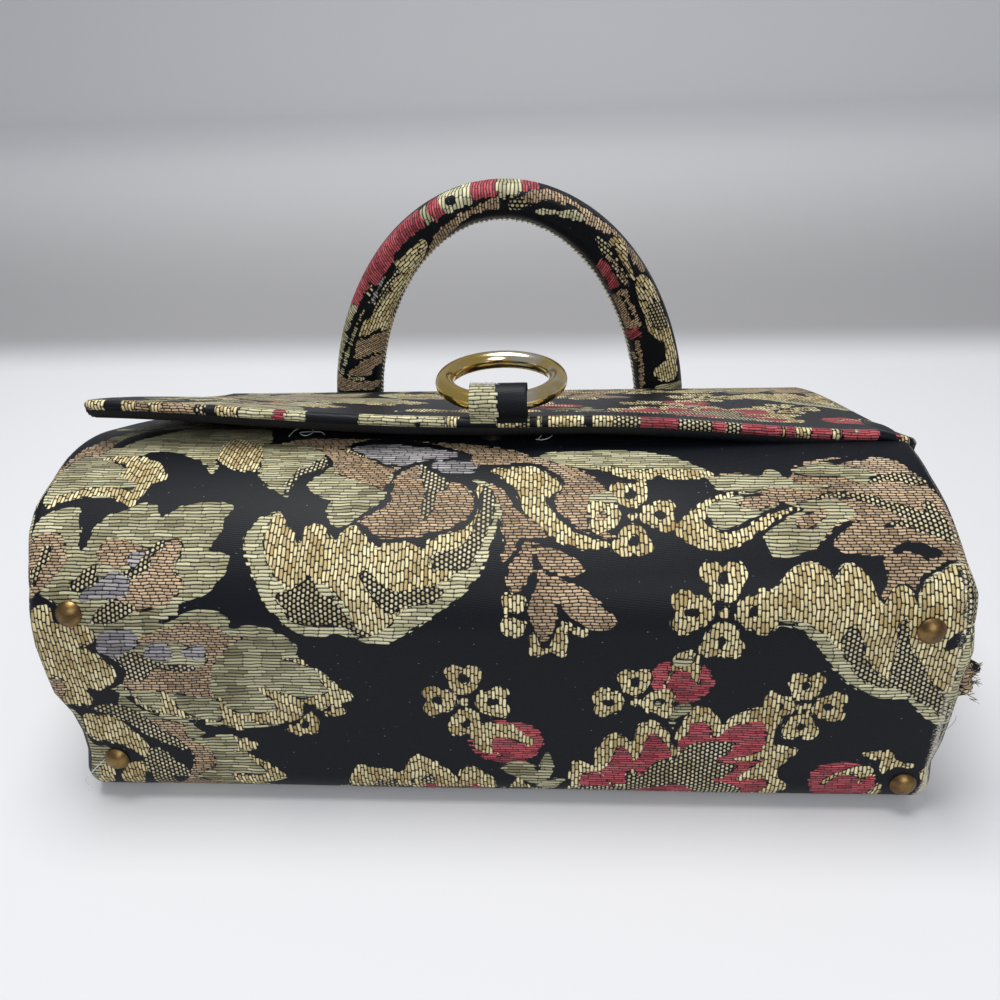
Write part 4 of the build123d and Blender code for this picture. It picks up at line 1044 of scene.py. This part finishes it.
# handle: the room between two half ellipses, with half-round ends and a whipped inner edge
handle = {"x": -1.5, "outer": (88.5, 122.5), "inner": (65.5, 107.5), "deep": 7.5, "rounding": 5.0,
          "pivot": (209.2, 38), "lean": 4, "around": 56, "along": 190, "wrinkle": 0.28,
          "ridge": (1.3, 1.5),
          "backStart": 5.0, "backCloth": (-120, -20), "backMiddle": 77, "unroll": 88}
handleShapes = [
    ("tan", "-71.2,51.7 -67.8,51.9 -63.5,53.8 -57,55.1 -51.4,54.8 -54.8,46.8 -58.4,42.9 -62.4,44.2"
     " -66.6,43.8 -72.4,41.4 -74.9,40.2 -73.1,46.6"),
    ("tan", "-77.5,35.1 -71.7,39.6 -66.8,41.8 -63.1,42.5 -58.1,42.2 -60.9,37.9 -65.1,37.5"
     " -67.8,32.4 -70.9,31.7 -77,32 -79.7,32.6"),
    ("tan", "-85.4,35.2 -83,32.1 -78.7,29.7 -70.4,28.6 -63.8,28.8 -64.8,24.6 -90.8,24.4 -89,30.1"),
    ("gold", "-78.4,31.5 -71,30.9 -70.8,29.4 -78.7,30"),
    ("gold", "-71,53.7 -68.7,58.7 -62,65.6 -58.4,73.4 -52.2,81.9 -45.3,90.1 -39.3,94.2 -35.1,94.1"
     " -36.4,89.9 -38.8,86 -41,81.6 -43.1,77.2 -46.2,73.2 -49.4,67.7 -51.9,63.1 -53.4,57"
     " -56.9,55.8 -61.3,56.9 -65.2,54.3 -69,53.5"),
    ("dots", "-62.6,66.1 -60.1,70.7 -56.8,76.1 -51.7,82.3 -48.1,87.5 -44.2,92.2 -42.6,91.7 -46,87"
     " -50.1,81.4 -54.7,75.2 -58,69.7 -60.2,66.1"),
    ("ground", "-53.2,76.5 -48.5,75.7 -44.9,76.8 -44.8,76.1 -48.6,75.1 -53.1,75.6"),
    ("ground", "-49.3,84.9 -45,84.4 -41.9,85.2 -41.8,84.5 -45.1,83.7 -49.3,84.2"),
    ("sage", "-38.1,85.1 -34.1,86.3 -35.3,82.4 -39.2,78 -43.1,73.6 -44,75 -41.2,79.4"),
    ("sage", "-81.3,33.1 -79.6,37.7 -77.8,42.1 -75.9,46.5 -73.9,50.7 -75.2,51.1 -77.2,46.9"
     " -79.2,42.5 -81,38 -82.7,33.4"),
    ("sage", "-84.5,34.3 -82.6,39.2 -80.5,44 -78.3,48.6 -76,53.1 -83.8,55.6 -86.2,50.9 -88.5,46"
     " -90.6,41 -92.6,35.8"),
    ("sage", "-73.5,52.3 -71.2,57.1 -68.7,61.7 -66.1,66.1 -63.3,70.3 -64.2,70.7 -67,66.5 -69.6,62"
     " -72.1,57.4 -74.5,52.6"),
    ("sage", "-76.2,56.1 -73.9,60.6 -71.6,64.9 -69.1,69 -76.3,72.3 -79,68 -81.4,63.4 -83.8,58.7"),
    ("lavender", "-60.9,70.2 -58.8,74.8 -56.4,79.1 -53.9,83.3 -55.1,84.2 -57.7,79.9 -60.1,75.5"
     " -62.3,70.9"),
    ("rose", "-69.9,68.6 -67.3,72.3 -64.5,75.8 -61.7,79.2 -69.5,83.7 -72.4,80.1 -75.3,76.3"
     " -78.1,72.4"),
    ("cream", "-63.4,73.2 -60.9,77.2 -58.2,81 -55.4,84.7 -56.4,85.4 -59.2,81.7 -61.9,77.8"
     " -64.5,73.7"),
    ("rose", "-59.1,78.6 -56.7,82.1 -54.1,85.4 -51.5,88.6 -48.8,91.6 -57.5,98.8 -60.5,95.4"
     " -63.4,91.9 -66.2,88.2 -68.8,84.3"),
    ("rose", "-52.4,89.5 -48.8,93.5 -45,97.2 -41.1,100.5 -37,103.5 -32.9,106.2 -39.1,115.1"
     " -43.8,112 -48.3,108.5 -52.7,104.7 -57,100.5 -61,96.1"),
    ("sage", "-32.6,105.9 -31,107.6 -29.4,109.1 -34,116.9 -35.9,115.1 -37.8,113.3"),
    ("rose", "-28.9,107.1 -27.6,108.4 -26.2,109.6 -24.9,110.8 -30.6,122.1 -32.2,120.7 -33.9,119.3"
     " -35.5,117.9"),
    ("cream", "-24.4,110.5 -22.1,111.7 -19.7,112.7 -17.3,113.7 -14.9,114.5 -12.5,115.3 -15.8,128.9"
     " -18.8,128 -21.9,126.9 -24.8,125.8 -27.8,124.5 -30.6,123"),
    ("rose", "-12.3,116.3 -9.6,117 -6.8,117.6 -4.1,118.1 -1.3,118.5 -1.6,132.3 -5.1,131.9"
     " -8.6,131.3 -12,130.6 -15.4,129.7"),
    ("cream", "-1,117.5 1.3,117.6 3.6,117.6 4.6,132.2 1.7,132.2 -1.2,132.1"),
    ("cream", "4.7,117.6 6.7,117.5 8.7,117.4 11.1,131.8 8.5,132 6,132.2"),
    ("rose", "9.6,120.5 11.9,120.3 14.2,120 16.6,119.6 19.7,130.1 16.9,130.6 14.2,131 11.4,131.3"),
    ("ground", "-19.4,116.7 -20.7,119 -23.3,119 -24.6,116.7 -23.3,114.5 -20.7,114.5"),
    ("gold", "-49.6,88.6 -41.2,95.6 -36.1,100.1 -33.4,98.6 -34.3,94.2 -38.3,89.6 -43.3,86.1"),
    ("ground", "-37.7,96.1 -36,95.4 -38.8,90.8 -39.2,92"),
    ("tan", "-31.3,99.4 -26.5,105.1 -19.3,110 -11.2,113.7 -5.5,116 -1,117.5 -0.9,112.6 -7.9,111.7"
     " -13.7,109.8 -17.9,106.6 -21.5,103.2 -25.9,97.6 -29.9,91.8 -33.9,85.9 -36.3,85.9 -33.3,93"),
    ("ground", "-13.7,109.8 -8,111.1 -0.9,112.3 -0.7,109.5 -8.1,108 -13.3,107.3"),
    ("dots", "4,116.9 10.7,117.5 16.7,114.7 11.2,113.7 9.5,112.1 4.4,112.2"),
    ("tan", "10.1,117.6 14,120.4 22.3,121 28.9,117.6 28.9,113.3 22.3,115.9 17.9,115.5 15.6,114.1"
     " 11.2,115.1"),
    ("tan", "19.6,120.6 23.2,121.7 29.3,118.6 39.7,110.6 46,106.1 51.7,102.3 56.9,97.2 60.8,92.6"
     " 64.9,87.4 66.1,82.8 63.3,82.5 59.9,86.2 57.2,91.4 54.4,96.6 50.5,100.4 46.8,100.5 43,102.8"
     " 37.4,105.7 33.6,111.9 26.9,115.1 19.5,116.5"),
    ("ground", "15.9,115.4 19.5,114.4 26.9,113.6 32.4,112.6 29.9,111.1 23.2,111.9 15.8,112.6"),
    ("cream", "15.8,112 23.2,111.3 30.6,110.8 34.2,111 38,106.3 31.8,106.8 25.7,109.1 15.8,110.2"),
    ("gold", "47.2,97.4 50.6,99.5 54.4,97.2 56.6,92.7 56.7,88.9 59.1,83.6 59.4,78.9 54.9,85.6"
     " 50.8,92.8"),
    ("ground", "50.1,94.8 54.4,96 54.6,95.4 50.5,94.1"),
    ("gold", "60.9,79.9 64,81.6 67,79.5 70.9,74 73.9,67.8 75.6,62.2 78.8,55.1 81.3,47.9 83.5,41.2"
     " 82.6,36.8 83.7,30.7 81,27.3 76.2,27.3 72.2,30.5 73.3,34.6 76.8,36.9 77.1,44.3 72.5,50.2"
     " 68.4,53.2 65.9,60.3 63.6,67.3 60.9,74.9"),
    ("ground", "62.2,74.9 65.6,75.5 65.8,74.9 62.5,74.2"),
    ("ground", "64.1,69.4 69.2,70 69.4,69.3 64.5,68.5"),
    ("dots", "67.5,67.3 73.2,67.8 74.9,63 77.4,55.9 72.2,54.5 68.3,58.9"),
    ("sage", "73.7,23.9 79.7,25.3 87.2,26 88.7,16.6 76.3,16.7"),
    ("dots", "41.6,99.4 44.4,98.7 48.9,92.9 55,83.7 57.9,77 55.3,77 49.9,85.1 44.6,93"),
    ("rose", "45.9,89.5 48,86.5 50,83.4 51.9,80.1 53.7,76.8 49.4,74.2 47.7,77.4 45.9,80.5 44,83.4"
     " 42.1,86.3"),
    ("tan", "47.8,91.2 50.5,87.8 53.1,84.3 55.5,80.5 57.8,76.6 56.6,75.9 54.3,79.8 51.9,83.5"
     " 49.4,87 46.8,90.3"),
    ("tan", "56.1,74.8 58.4,70.5 60.5,66.1 62.5,61.5 64.3,56.7 57.1,54 55.4,58.5 53.5,62.8 51.6,67"
     " 49.4,71"),
    ("ground", "55,72.4 56.8,69.1 58.4,65.8 60.1,62.3 61.6,58.7 60.4,58.3 59,61.8 57.4,65.3"
     " 55.7,68.6 53.9,71.8"),
    ("rose", "63.7,55.8 64.2,53.4 64.6,51 57,48.5 56.6,50.8 56.2,53"),
    ("tan", "64.1,48.8 65.8,40.7 67.1,32.4 67.9,23.9 65.7,23.6 64.9,32 63.7,40.2 62,48.2"),
    ("sage", "62.4,42.3 62.9,40.1 63.3,37.9 60.9,37.3 60.4,39.5 59.9,41.7"),]
handlePaths = [(kind, smoothLoop(cornersOf(text), 2)) for kind, text in handleShapes]


def archAt(turn):
    # outer and inner places of the arch in its plane, at a turn from the left end to the right
    outer = np.stack([-handle["outer"][0] * np.cos(turn), handle["outer"][1] * np.sin(turn)], -1)
    inner = np.stack([-handle["inner"][0] * np.cos(turn), handle["inner"][1] * np.sin(turn)], -1)
    return outer, inner


def handlePlace(points):
    lean = radians(handle["lean"])
    x, y, z = points[..., 0], points[..., 1], points[..., 2]
    return np.stack([x + handle["x"], handle["pivot"][0] + y * cos(lean) - z * sin(lean),
                     handle["pivot"][1] + y * sin(lean) + z * cos(lean)], -1)


def roundedLoop(a, b, r, count):
    # places round a rectangle with rounded corners, from the middle of its front face, and how far
    # along its edge each place is
    flatX, flatY, bend = 2 * (a - r), 2 * (b - r), r * pi / 2
    total = 2 * flatX + 2 * flatY + 4 * bend
    p = (np.arange(count) / count) * total
    stretches = [(flatX / 2, (0, -b), (1, 0), 0), (bend, (a - r, -b + r), None, -90),
                 (flatY, (a, -b + r), (0, 1), 0), (bend, (a - r, b - r), None, 0),
                 (flatX, (a - r, b), (-1, 0), 0), (bend, (-a + r, b - r), None, 90),
                 (flatY, (-a, b - r), (0, -1), 0), (bend, (-a + r, -b + r), None, 180),
                 (flatX / 2, (-a + r, -b), (1, 0), 0)]
    places, start = np.zeros((count, 2)), 0.0
    for length, origin, way, angle in stretches:
        here = (p >= start - 1e-9) & (p <= start + length + 1e-9)
        run = p[here] - start
        if way is None:
            t = radians(angle) + run / r
            places[here] = np.stack([origin[0] + r * np.cos(t), origin[1] + r * np.sin(t)], -1)
        else:
            places[here] = np.array(origin) + run[:, None] * np.array(way)
        start += length
    return places, np.where(p > total / 2, p - total, p)


def handleCover():
    turns = np.linspace(0, pi, handle["along"])
    rings, cloth = [], []
    capTurns = np.linspace(0, 1, 7)[1:]
    for k, turn in enumerate(turns):
        outer, inner = archAt(turn)
        half = np.hypot(*(outer - inner)) / 2
        way = (outer - inner) / (2 * half)
        middle = (outer + inner) / 2
        section, edge = roundedLoop(half, handle["deep"], handle["rounding"] * 0.98, handle["around"])
        across, deep = section[:, 0], section[:, 1]
        width, tall = handle["ridge"]
        atInner = np.exp(-((deep + 2.5) / width) ** 2) * softly(-across, half - 3, half - 0.5)
        across = across - tall * atInner * 0.6
        wave = (handle["wrinkle"] * np.sin(turn * 31 + across * 0.35)
                * np.sin(turn * 17 + deep * 0.3 + 1))
        level = 1 + wave / handle["deep"]
        place = middle + across[:, None] * way
        ring = np.stack([place[:, 0], deep * level, place[:, 1]], -1)
        unrolled = middle + edge[:, None] * way
        if turn in (turns[0], turns[-1]):
            caps = []
            for t in capTurns:
                down = handle["deep"] * sin(t * pi / 2)
                slim = max(cos(t * pi / 2), 0.02)
                room = np.sqrt(np.clip(1 - (across / half) ** 2 * 0.16, 0, 1))
                caps.append((np.stack([middle[0] + across * (1 - 0.07 * t * t) * way[0], deep * slim,
                                       -down * room], -1), unrolled - (0, down)))
            ordered = caps[::-1] + [(ring, unrolled)] if k == 0 else [(ring, unrolled)] + caps
        else:
            ordered = [(ring, unrolled)]
        for points, flat in ordered:
            rings.append(points)
            cloth.append(flat)
    points, cloth = handlePlace(np.array(rings)), np.array(cloth)
    rows, columns = cloth.shape[:2]
    fields = clothFields(cloth[..., 0], cloth[..., 1], handlePaths)
    edgeWear = 0.25 * softly(points[..., 2], 150, 160) * softly(-points[..., 1], -206, -196)
    angle = np.arctan2(cloth[..., 1], -cloth[..., 0])
    radius = np.hypot(cloth[..., 0], cloth[..., 1] * 0.75)
    # behind, the cloth is the body's pattern, which the handle's own shapes don't reach
    atBack = np.broadcast_to(section[:, 1] > handle["backStart"], angle.shape)
    radius = np.where(atBack, handle["backMiddle"] + section[:, 0], radius)
    backAcross, backUp = handle["backCloth"]
    behind = brocadeFields(angle * handle["unroll"] + backAcross, radius + backUp)
    for key in fields:
        fields[key] = np.where(atBack[..., None], behind[key], fields[key])
    fields["clothPlace"] = np.stack([radius, angle * handle["unroll"], edgeWear], -1)
    faces = gridFaces(rows, columns, closed=True).tolist()
    for row, turned in ((0, False), (rows - 1, True)):
        ring = [row * columns + c for c in range(columns)]
        faces.append(ring[::-1] if turned else ring)
    return newPiece("brocade_handle", points.reshape(-1, 3), faces, brocadeCloth, fields)


handleSleeve = handleCover()
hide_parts("handle_cover")
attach(handleSleeve, "handle")

# whipped stitches round the handle's inner edge
stitchSettings = {"spacing": 2.3, "length": 3.6, "thick": 0.75, "play": 0.12, "seed": 3}
turns = np.linspace(0.06, pi - 0.06, 160)
outerPlaces, innerPlaces = archAt(turns)
ways = (outerPlaces - innerPlaces) / np.hypot(*(outerPlaces - innerPlaces).T)[:, None]
stitchLine = innerPlaces - ways * 0.35
stitchLine = handlePlace(np.stack([stitchLine[:, 0], np.full(len(turns), -3.6), stitchLine[:, 1]], -1))
along = np.gradient(stitchLine, axis=0)
along /= np.linalg.norm(along, axis=1)[:, None]
stitchWays = along * 0.75 + np.stack([ways[:, 0] * 0.5, -0.35 + 0 * ways[:, 0], ways[:, 1] * 0.5], -1)
handleStitches = threadRow("handle_stitches", stitchLine, stitchWays, stitchSettings, threadPale)
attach(handleStitches, "handle")
print("handle made")


# small cloth pieces: the ring's loop, the hinge's cloth, the handle's patches and the wear
def ribbon(name, path, left, right, thick, fields, columns=24, wobble=0.0):
    # a strip of cloth of some thickness along a path of y and z, closed at its edges
    path = np.asarray(path, float)
    ways = np.gradient(path, axis=0)
    ways /= np.linalg.norm(ways, axis=1)[:, None]
    normals = np.stack([-ways[:, 1], ways[:, 0]], -1)
    rows = len(path)
    across = np.concatenate([[0, 0, 0.02], np.linspace(0.05, 0.95, columns), [0.98, 1, 1]])
    fat = np.concatenate([[0.02, 0.6, 0.9], np.ones(columns), [0.9, 0.6, 0.02]])
    loop = np.concatenate([np.arange(rows), np.arange(rows)[::-1]])
    side = np.concatenate([np.ones(rows), -np.ones(rows)])
    end = np.sqrt(np.clip(1 - (1 - np.minimum(loop, rows - 1 - loop) / 1.5) ** 2, 0, 1))
    end = np.where(np.minimum(loop, rows - 1 - loop) >= 1.5, 1, np.maximum(end, 0.25))
    place = path[loop][:, None] + (normals[loop] * side[:, None] * end[:, None])[:, None] \
        * (fat * thick / 2)[None, :, None]
    x = left + (right - left) * across
    ripple = wobble * np.sin(x / 3.1)[None, :] * np.sin(loop / 3.0)[:, None]
    points = np.stack([np.broadcast_to(x, place.shape[:2]), place[..., 0], place[..., 1] + ripple], -1)
    lengths = np.concatenate([[0], np.cumsum(np.hypot(*np.diff(path, axis=0).T))])
    v = np.broadcast_to(lengths[loop][:, None], place.shape[:2])
    made = fields(points[..., 0], v)
    made["clothPlace"] = np.stack([points[..., 0], v, 0 * v + 0.15], -1)
    faces = []
    count, wide = len(loop), len(x)
    for r in range(count):
        for c in range(wide - 1):
            a, b = r * wide + c, ((r + 1) % count) * wide + c
            faces.append((a, a + 1, b + 1, b))
    return newPiece(name, points.reshape(-1, 3), faces, brocadeCloth, made)


def plainFields(kind, left, right):
    # one kind of float between two places across, ground elsewhere
    def fields(x, v):
        depth = {k: np.full(np.shape(x), brocadeRepeat["far"]) for k in brocadeKinds}
        depth[kind] = np.maximum(left - x, x - right)
        return fieldsFrom(depth, np.shape(x))
    return fields


ringLoop = {"x": 3, "half": 9.5, "axis": (66.5, 117.2), "radius": 5.5, "thick": 0.95, "split": 2.6}
loopTurns = np.radians(np.linspace(-72, 222, 30))
loopPath = [(ringLoop["axis"][0] + ringLoop["radius"] * cos(t), ringLoop["axis"][1]
             + ringLoop["radius"] * sin(t)) for t in loopTurns]
loopBack = [(loopPath[0][0] + k, loopPath[0][1] - 0.55 - k * 0.378) for k in (6.5, 4.5, 2.5, 1.0)]
loopFront = [(loopPath[-1][0] + a, loopPath[-1][1] - b)
             for a, b in ((0.2, 1.2), (0.3, 2.4), (0.5, 3.8))]
loopPath = loopBack + loopPath + loopFront
loopCloth = ribbon("brocade_ring_loop", loopPath, ringLoop["x"] - ringLoop["half"],
                   ringLoop["x"] + ringLoop["half"], ringLoop["thick"],
                   plainFields("cream", -20, ringLoop["split"]), wobble=0.12)
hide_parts("ring_loop")
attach(loopCloth, "flap")
frayAt = np.stack([np.linspace(-6.2, 3.2, 40), np.full(40, 66.2), np.full(40, 123.1)], -1)
loopFray = threadRow("ring_loop_fray", frayAt, np.tile((0.1, -0.25, 1.0), (40, 1)),
                     {"spacing": 0.42, "length": 2.6, "thick": 0.26, "play": 0.5, "seed": 11},
                     threadWhite)
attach(loopFray, "flap")

# a strip of cloth over the flap's hinge, from under the back to the flap
hinge = {"half": 136, "thick": 0.7, "clothUp": -206}
hingePath = [(180, 0.45), (186, 0.4), (191, 0.42), (194, 0.5), (196.4, 0.6), (198.2, 0.9), (199.2, 1.9),
             (199.5, 3.4), (199.5, 5.4), (199.4, 8), (199.3, 11)]
hingeCloth = ribbon("brocade_hinge", hingePath, -hinge["half"], hinge["half"], hinge["thick"],
                    lambda x, v: brocadeFields(x, v + hinge["clothUp"]), columns=150)
tuple(toFrame((0, 195, 0.5)))
tuple(toFrame((0, 199.4, 4)))
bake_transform(hingeCloth)

# the cradles that the handle turns in, and the patches that hold them to the flap
patch = {"apart": 77, "bore": 8.45, "cradleHalf": 11.2, "cradleThick": 1.1, "halfWide": 13.4,
         "halfHigh": 13.3, "face": 198.9, "rise": 1.52, "z": 37.5, "fine": 30,
         "seamY": 200.2, "seamHalf": (11.6, 11.5)}
for side, sideName in ((-1, "left"), (1, "right")):
    middle = handle["x"] + side * patch["apart"]
    low = [(199.5, 25.2), (199.7, 27.5), (199.8, 29.4), (200.3, 30.6), (201.4, 31.4)]
    turns = np.radians(np.linspace(212, 262, 12))
    around = [(handle["pivot"][0] + patch["bore"] * cos(t),
               handle["pivot"][1] + patch["bore"] * sin(t)) for t in turns]
    cradle = ribbon(f"brocade_cradle_{sideName}", low + around, middle - patch["cradleHalf"],
                    middle + patch["cradleHalf"], patch["cradleThick"],
                    lambda x, v: brocadeFields(x + 60, v + 30))
    even = np.linspace(-1, 1, patch["fine"])
    b, a = np.meshgrid(even, even, indexing="ij")
    superA = np.sign(a) * (1 - (1 - abs(a)) ** 1.5)
    superB = np.sign(b) * (1 - (1 - abs(b)) ** 1.5)
    lump = np.clip((1 - abs(superA) ** 10) * (1 - abs(superB) ** 10), 0, 1) ** 0.4
    groove = 0.25 * np.exp(-((np.maximum(abs(superA), abs(superB)) - 0.86) / 0.04) ** 2)
    platePoints = np.stack([middle + superA * patch["halfWide"],
                            patch["face"] + patch["rise"] * lump - groove,
                            patch["z"] + superB * patch["halfHigh"]], -1)
    plateFields = brocadeFields(platePoints[..., 0] + 60, platePoints[..., 2] + 40)
    plateFields["clothPlace"] = np.stack([platePoints[..., 0], platePoints[..., 2], 0 * a + 0.1], -1)
    plate = newPiece(f"brocade_patch_{sideName}", platePoints.reshape(-1, 3),
                     gridFaces(*a.shape, flipped=True), brocadeCloth, plateFields)
    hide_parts(f"handle_patch_{sideName}")
    for piece in (cradle, plate):
        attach(piece, "flap")
    ring = np.linspace(0, 2 * pi, 81)
    square = np.stack([np.sign(np.cos(ring)) * abs(np.cos(ring)) ** 0.25,
                       np.sign(np.sin(ring)) * abs(np.sin(ring)) ** 0.25], -1)
    seamX, seamZ = patch["seamHalf"]
    seamLine = np.stack([middle + square[:, 0] * seamX, 0 * ring + patch["seamY"],
                         patch["z"] + square[:, 1] * seamZ], -1)
    seamWays = np.gradient(seamLine, axis=0)
    seamWays /= np.linalg.norm(seamWays, axis=1)[:, None]
    patchStitches = threadRow(f"patch_stitches_{sideName}", seamLine, seamWays,
                              {"spacing": 3.0, "length": 2.0, "thick": 0.45, "play": 0.05,
                               "seed": 5}, threadDark)
    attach(patchStitches, "flap")
print("small cloth made")

# the worn tuck at the right gusset's lower seam, with its frayed threads
tuck = {"place": (144.0, 9.0, 50.0), "size": (4.4, 3.6, 7.5), "around": 28, "high": 26, "wear": 0.12}
angles, heights = np.meshgrid(np.arange(tuck["around"]) / tuck["around"] * 2 * pi,
                              np.linspace(-1, 1, tuck["high"]), indexing="xy")
wide = np.sqrt(np.clip(1 - heights ** 2, 0.0004, 1))
crease = 1 + 0.22 * np.sin(3 * angles + 4 * heights) + 0.12 * np.sin(7 * angles - 9 * heights) \
    + 0.06 * np.sin(13 * angles + 17 * heights)
tx, ty, tz = tuck["place"]
sx, sy, sz = tuck["size"]
tuckPoints = np.stack([tx + sx * wide * np.cos(angles) * crease,
                       ty + sy * wide * np.sin(angles) * crease,
                       tz + sz * heights + 1.5 * np.cos(angles) * wide], -1)
tuckDepth = {k: np.full(angles.shape, brocadeRepeat["far"]) for k in brocadeKinds}
tuckDepth["tan"] = np.sin(angles * 2 + heights * 3) * 1.2 - 0.3
tuckDepth["gold"] = 1.3 + np.sin(angles * 3 - heights * 6) * 1.8
tuckFields = fieldsFrom(tuckDepth, angles.shape)
tuckFields["clothPlace"] = np.stack([angles * 4, heights * 9, 0 * angles + tuck["wear"]], -1)
lowRing = list(range(tuck["around"]))
highRing = [(tuck["high"] - 1) * tuck["around"] + k for k in lowRing]
tuckFaces = gridFaces(*angles.shape, closed=True).tolist() + [lowRing[::-1], highRing]
tuckCloth = newPiece("brocade_tuck", tuckPoints.reshape(-1, 3), tuckFaces, brocadeCloth, tuckFields)
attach(tuckCloth, "bag")
frayTurns = np.linspace(-0.5, 1.1, 30)
tuckLine = np.stack([tx + 3.8 + 0.9 * np.sin(frayTurns * 9), ty - 2 + 2.0 * np.cos(frayTurns * 7),
                     tz - 6 + 13 * (frayTurns + 0.5) / 1.6], -1)
for name, material, seed, length in (("tuck_fray_pale", threadPale, 21, 2.4),
                                     ("tuck_fray_dark", threadDark, 22, 3.0)):
    fray = threadRow(name, tuckLine, np.tile((0.8, -0.5, 0.45), (30, 1)),
                     {"spacing": 0.9, "length": length, "thick": 0.22, "play": 0.75, "seed": seed},
                     material)
    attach(fray, "bag")


def bodyPlace(u, v, lift):
    # a place on the body's cloth, lifted off it
    point = bodyLooseness(bodyPoint(np.array([[float(v)]]), np.array([[float(u)]]), -lift))
    return point.reshape(3)


# loose threads that have been pulled out of the cloth
looseThreads = {
    "thread_left": ("bag", 0.16, [(-72, 139, 0.1), (-70, 142, 1.8), (-66, 143, 2.2), (-64, 141, 1.2),
                                  (-66, 138, 0.8), (-68, 139.5, 1.5), (-62, 142, 1.0), (-60, 141, 0.2)]),
    "thread_right": ("bag", 0.15, [(16, 134, 0.1), (18, 136, 1.6), (21, 136.5, 1.9), (20, 133.5, 1.0),
                                   (17.5, 132, 0.6), (15, 133, 0.3)]),
    "thread_side": ("bag", 0.14, [(139, 30, 0.1), (141, 27, 1.4), (142, 23, 1.0), (140, 21, 0.2)]),
    "thread_corner": ("bag", 0.13, [(-134, 6, 0.1), (-137, 3, 2.2), (-139, -1, 3.4), (-138, -3, 3.8)]),
}
for name, (bodyName, radius, route) in looseThreads.items():
    thread = tubeAlong(name, [bodyPlace(*spot) for spot in route], radius, threadWhite)
    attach(thread, bodyName)
print("wear made")


# surroundings and light: pale paper that curves up far behind the bag, with painted shade: grey behind
# the bag, lighter again further away
backdrop = {"turnAt": 1700, "radius": 300, "high": 1800, "wide": 2500, "near": -1800}


def sweep():
    turns = np.linspace(0, pi / 2, 16)
    path = [(backdrop["near"], 0)]
    path += [(backdrop["turnAt"] + backdrop["radius"] * sin(t), backdrop["radius"] * (1 - cos(t)))
             for t in turns]
    path += [(backdrop["turnAt"] + backdrop["radius"], backdrop["high"])]
    points = [(x, y, z) for y, z in path for x in (-backdrop["wide"], backdrop["wide"])]
    look = Look("backdrop_paper")
    y = look.parts(look.place())[1]
    away = y * 1000 + originY
    # painted shade: the paper greys just behind the bag and lightens again further back
    far = away.step(368.0, 450.0)
    further = away.step(430.0, 1300.0)
    grey = look.mix(further, ink("#9a9a9d"), ink("#f4f4f6"))
    colour = look.mix(far, ink("#d3d4d8"), grey)
    paper = look.finish(colour, 0.9, None, **{"Specular IOR Level": 0.1})
    piece = newPiece("backdrop", points, gridFaces(len(path), 2, flipped=True), paper)


sweep()
world = bpy.data.worlds.new("studio")
world.use_nodes = True
world.node_tree.nodes["Background"].inputs[0].default_value = (0.9, 0.94, 1.0, 1)
world.node_tree.nodes["Background"].inputs[1].default_value = 0.34
scene.world = world


def areaLight(name, place, target, size, power, colour=(1, 1, 1)):
    lamp = bpy.data.lights.new(name, "AREA")
    lamp.shape, lamp.size, lamp.energy, lamp.color = "DISK", size / 1000, power, colour
    lampObject = bpy.data.objects.new(name, lamp)
    scene.collection.objects.link(lampObject)
    place, target = Vector(toFrame(place)), Vector(toFrame(target))
    lampObject.location = place
    lampObject.rotation_mode = "QUATERNION"
    lampObject.rotation_quaternion = (target - place).to_track_quat("-Z", "Y")


areaLight("ceiling", (-120, 190, 1050), (0, 90, 40), 620, 10.5, (1, 0.985, 0.96))
areaLight("front", (250, -850, 800), (0, 20, 50), 700, 5.5, (1, 0.99, 0.97))
scene.view_settings.view_transform = "Standard"
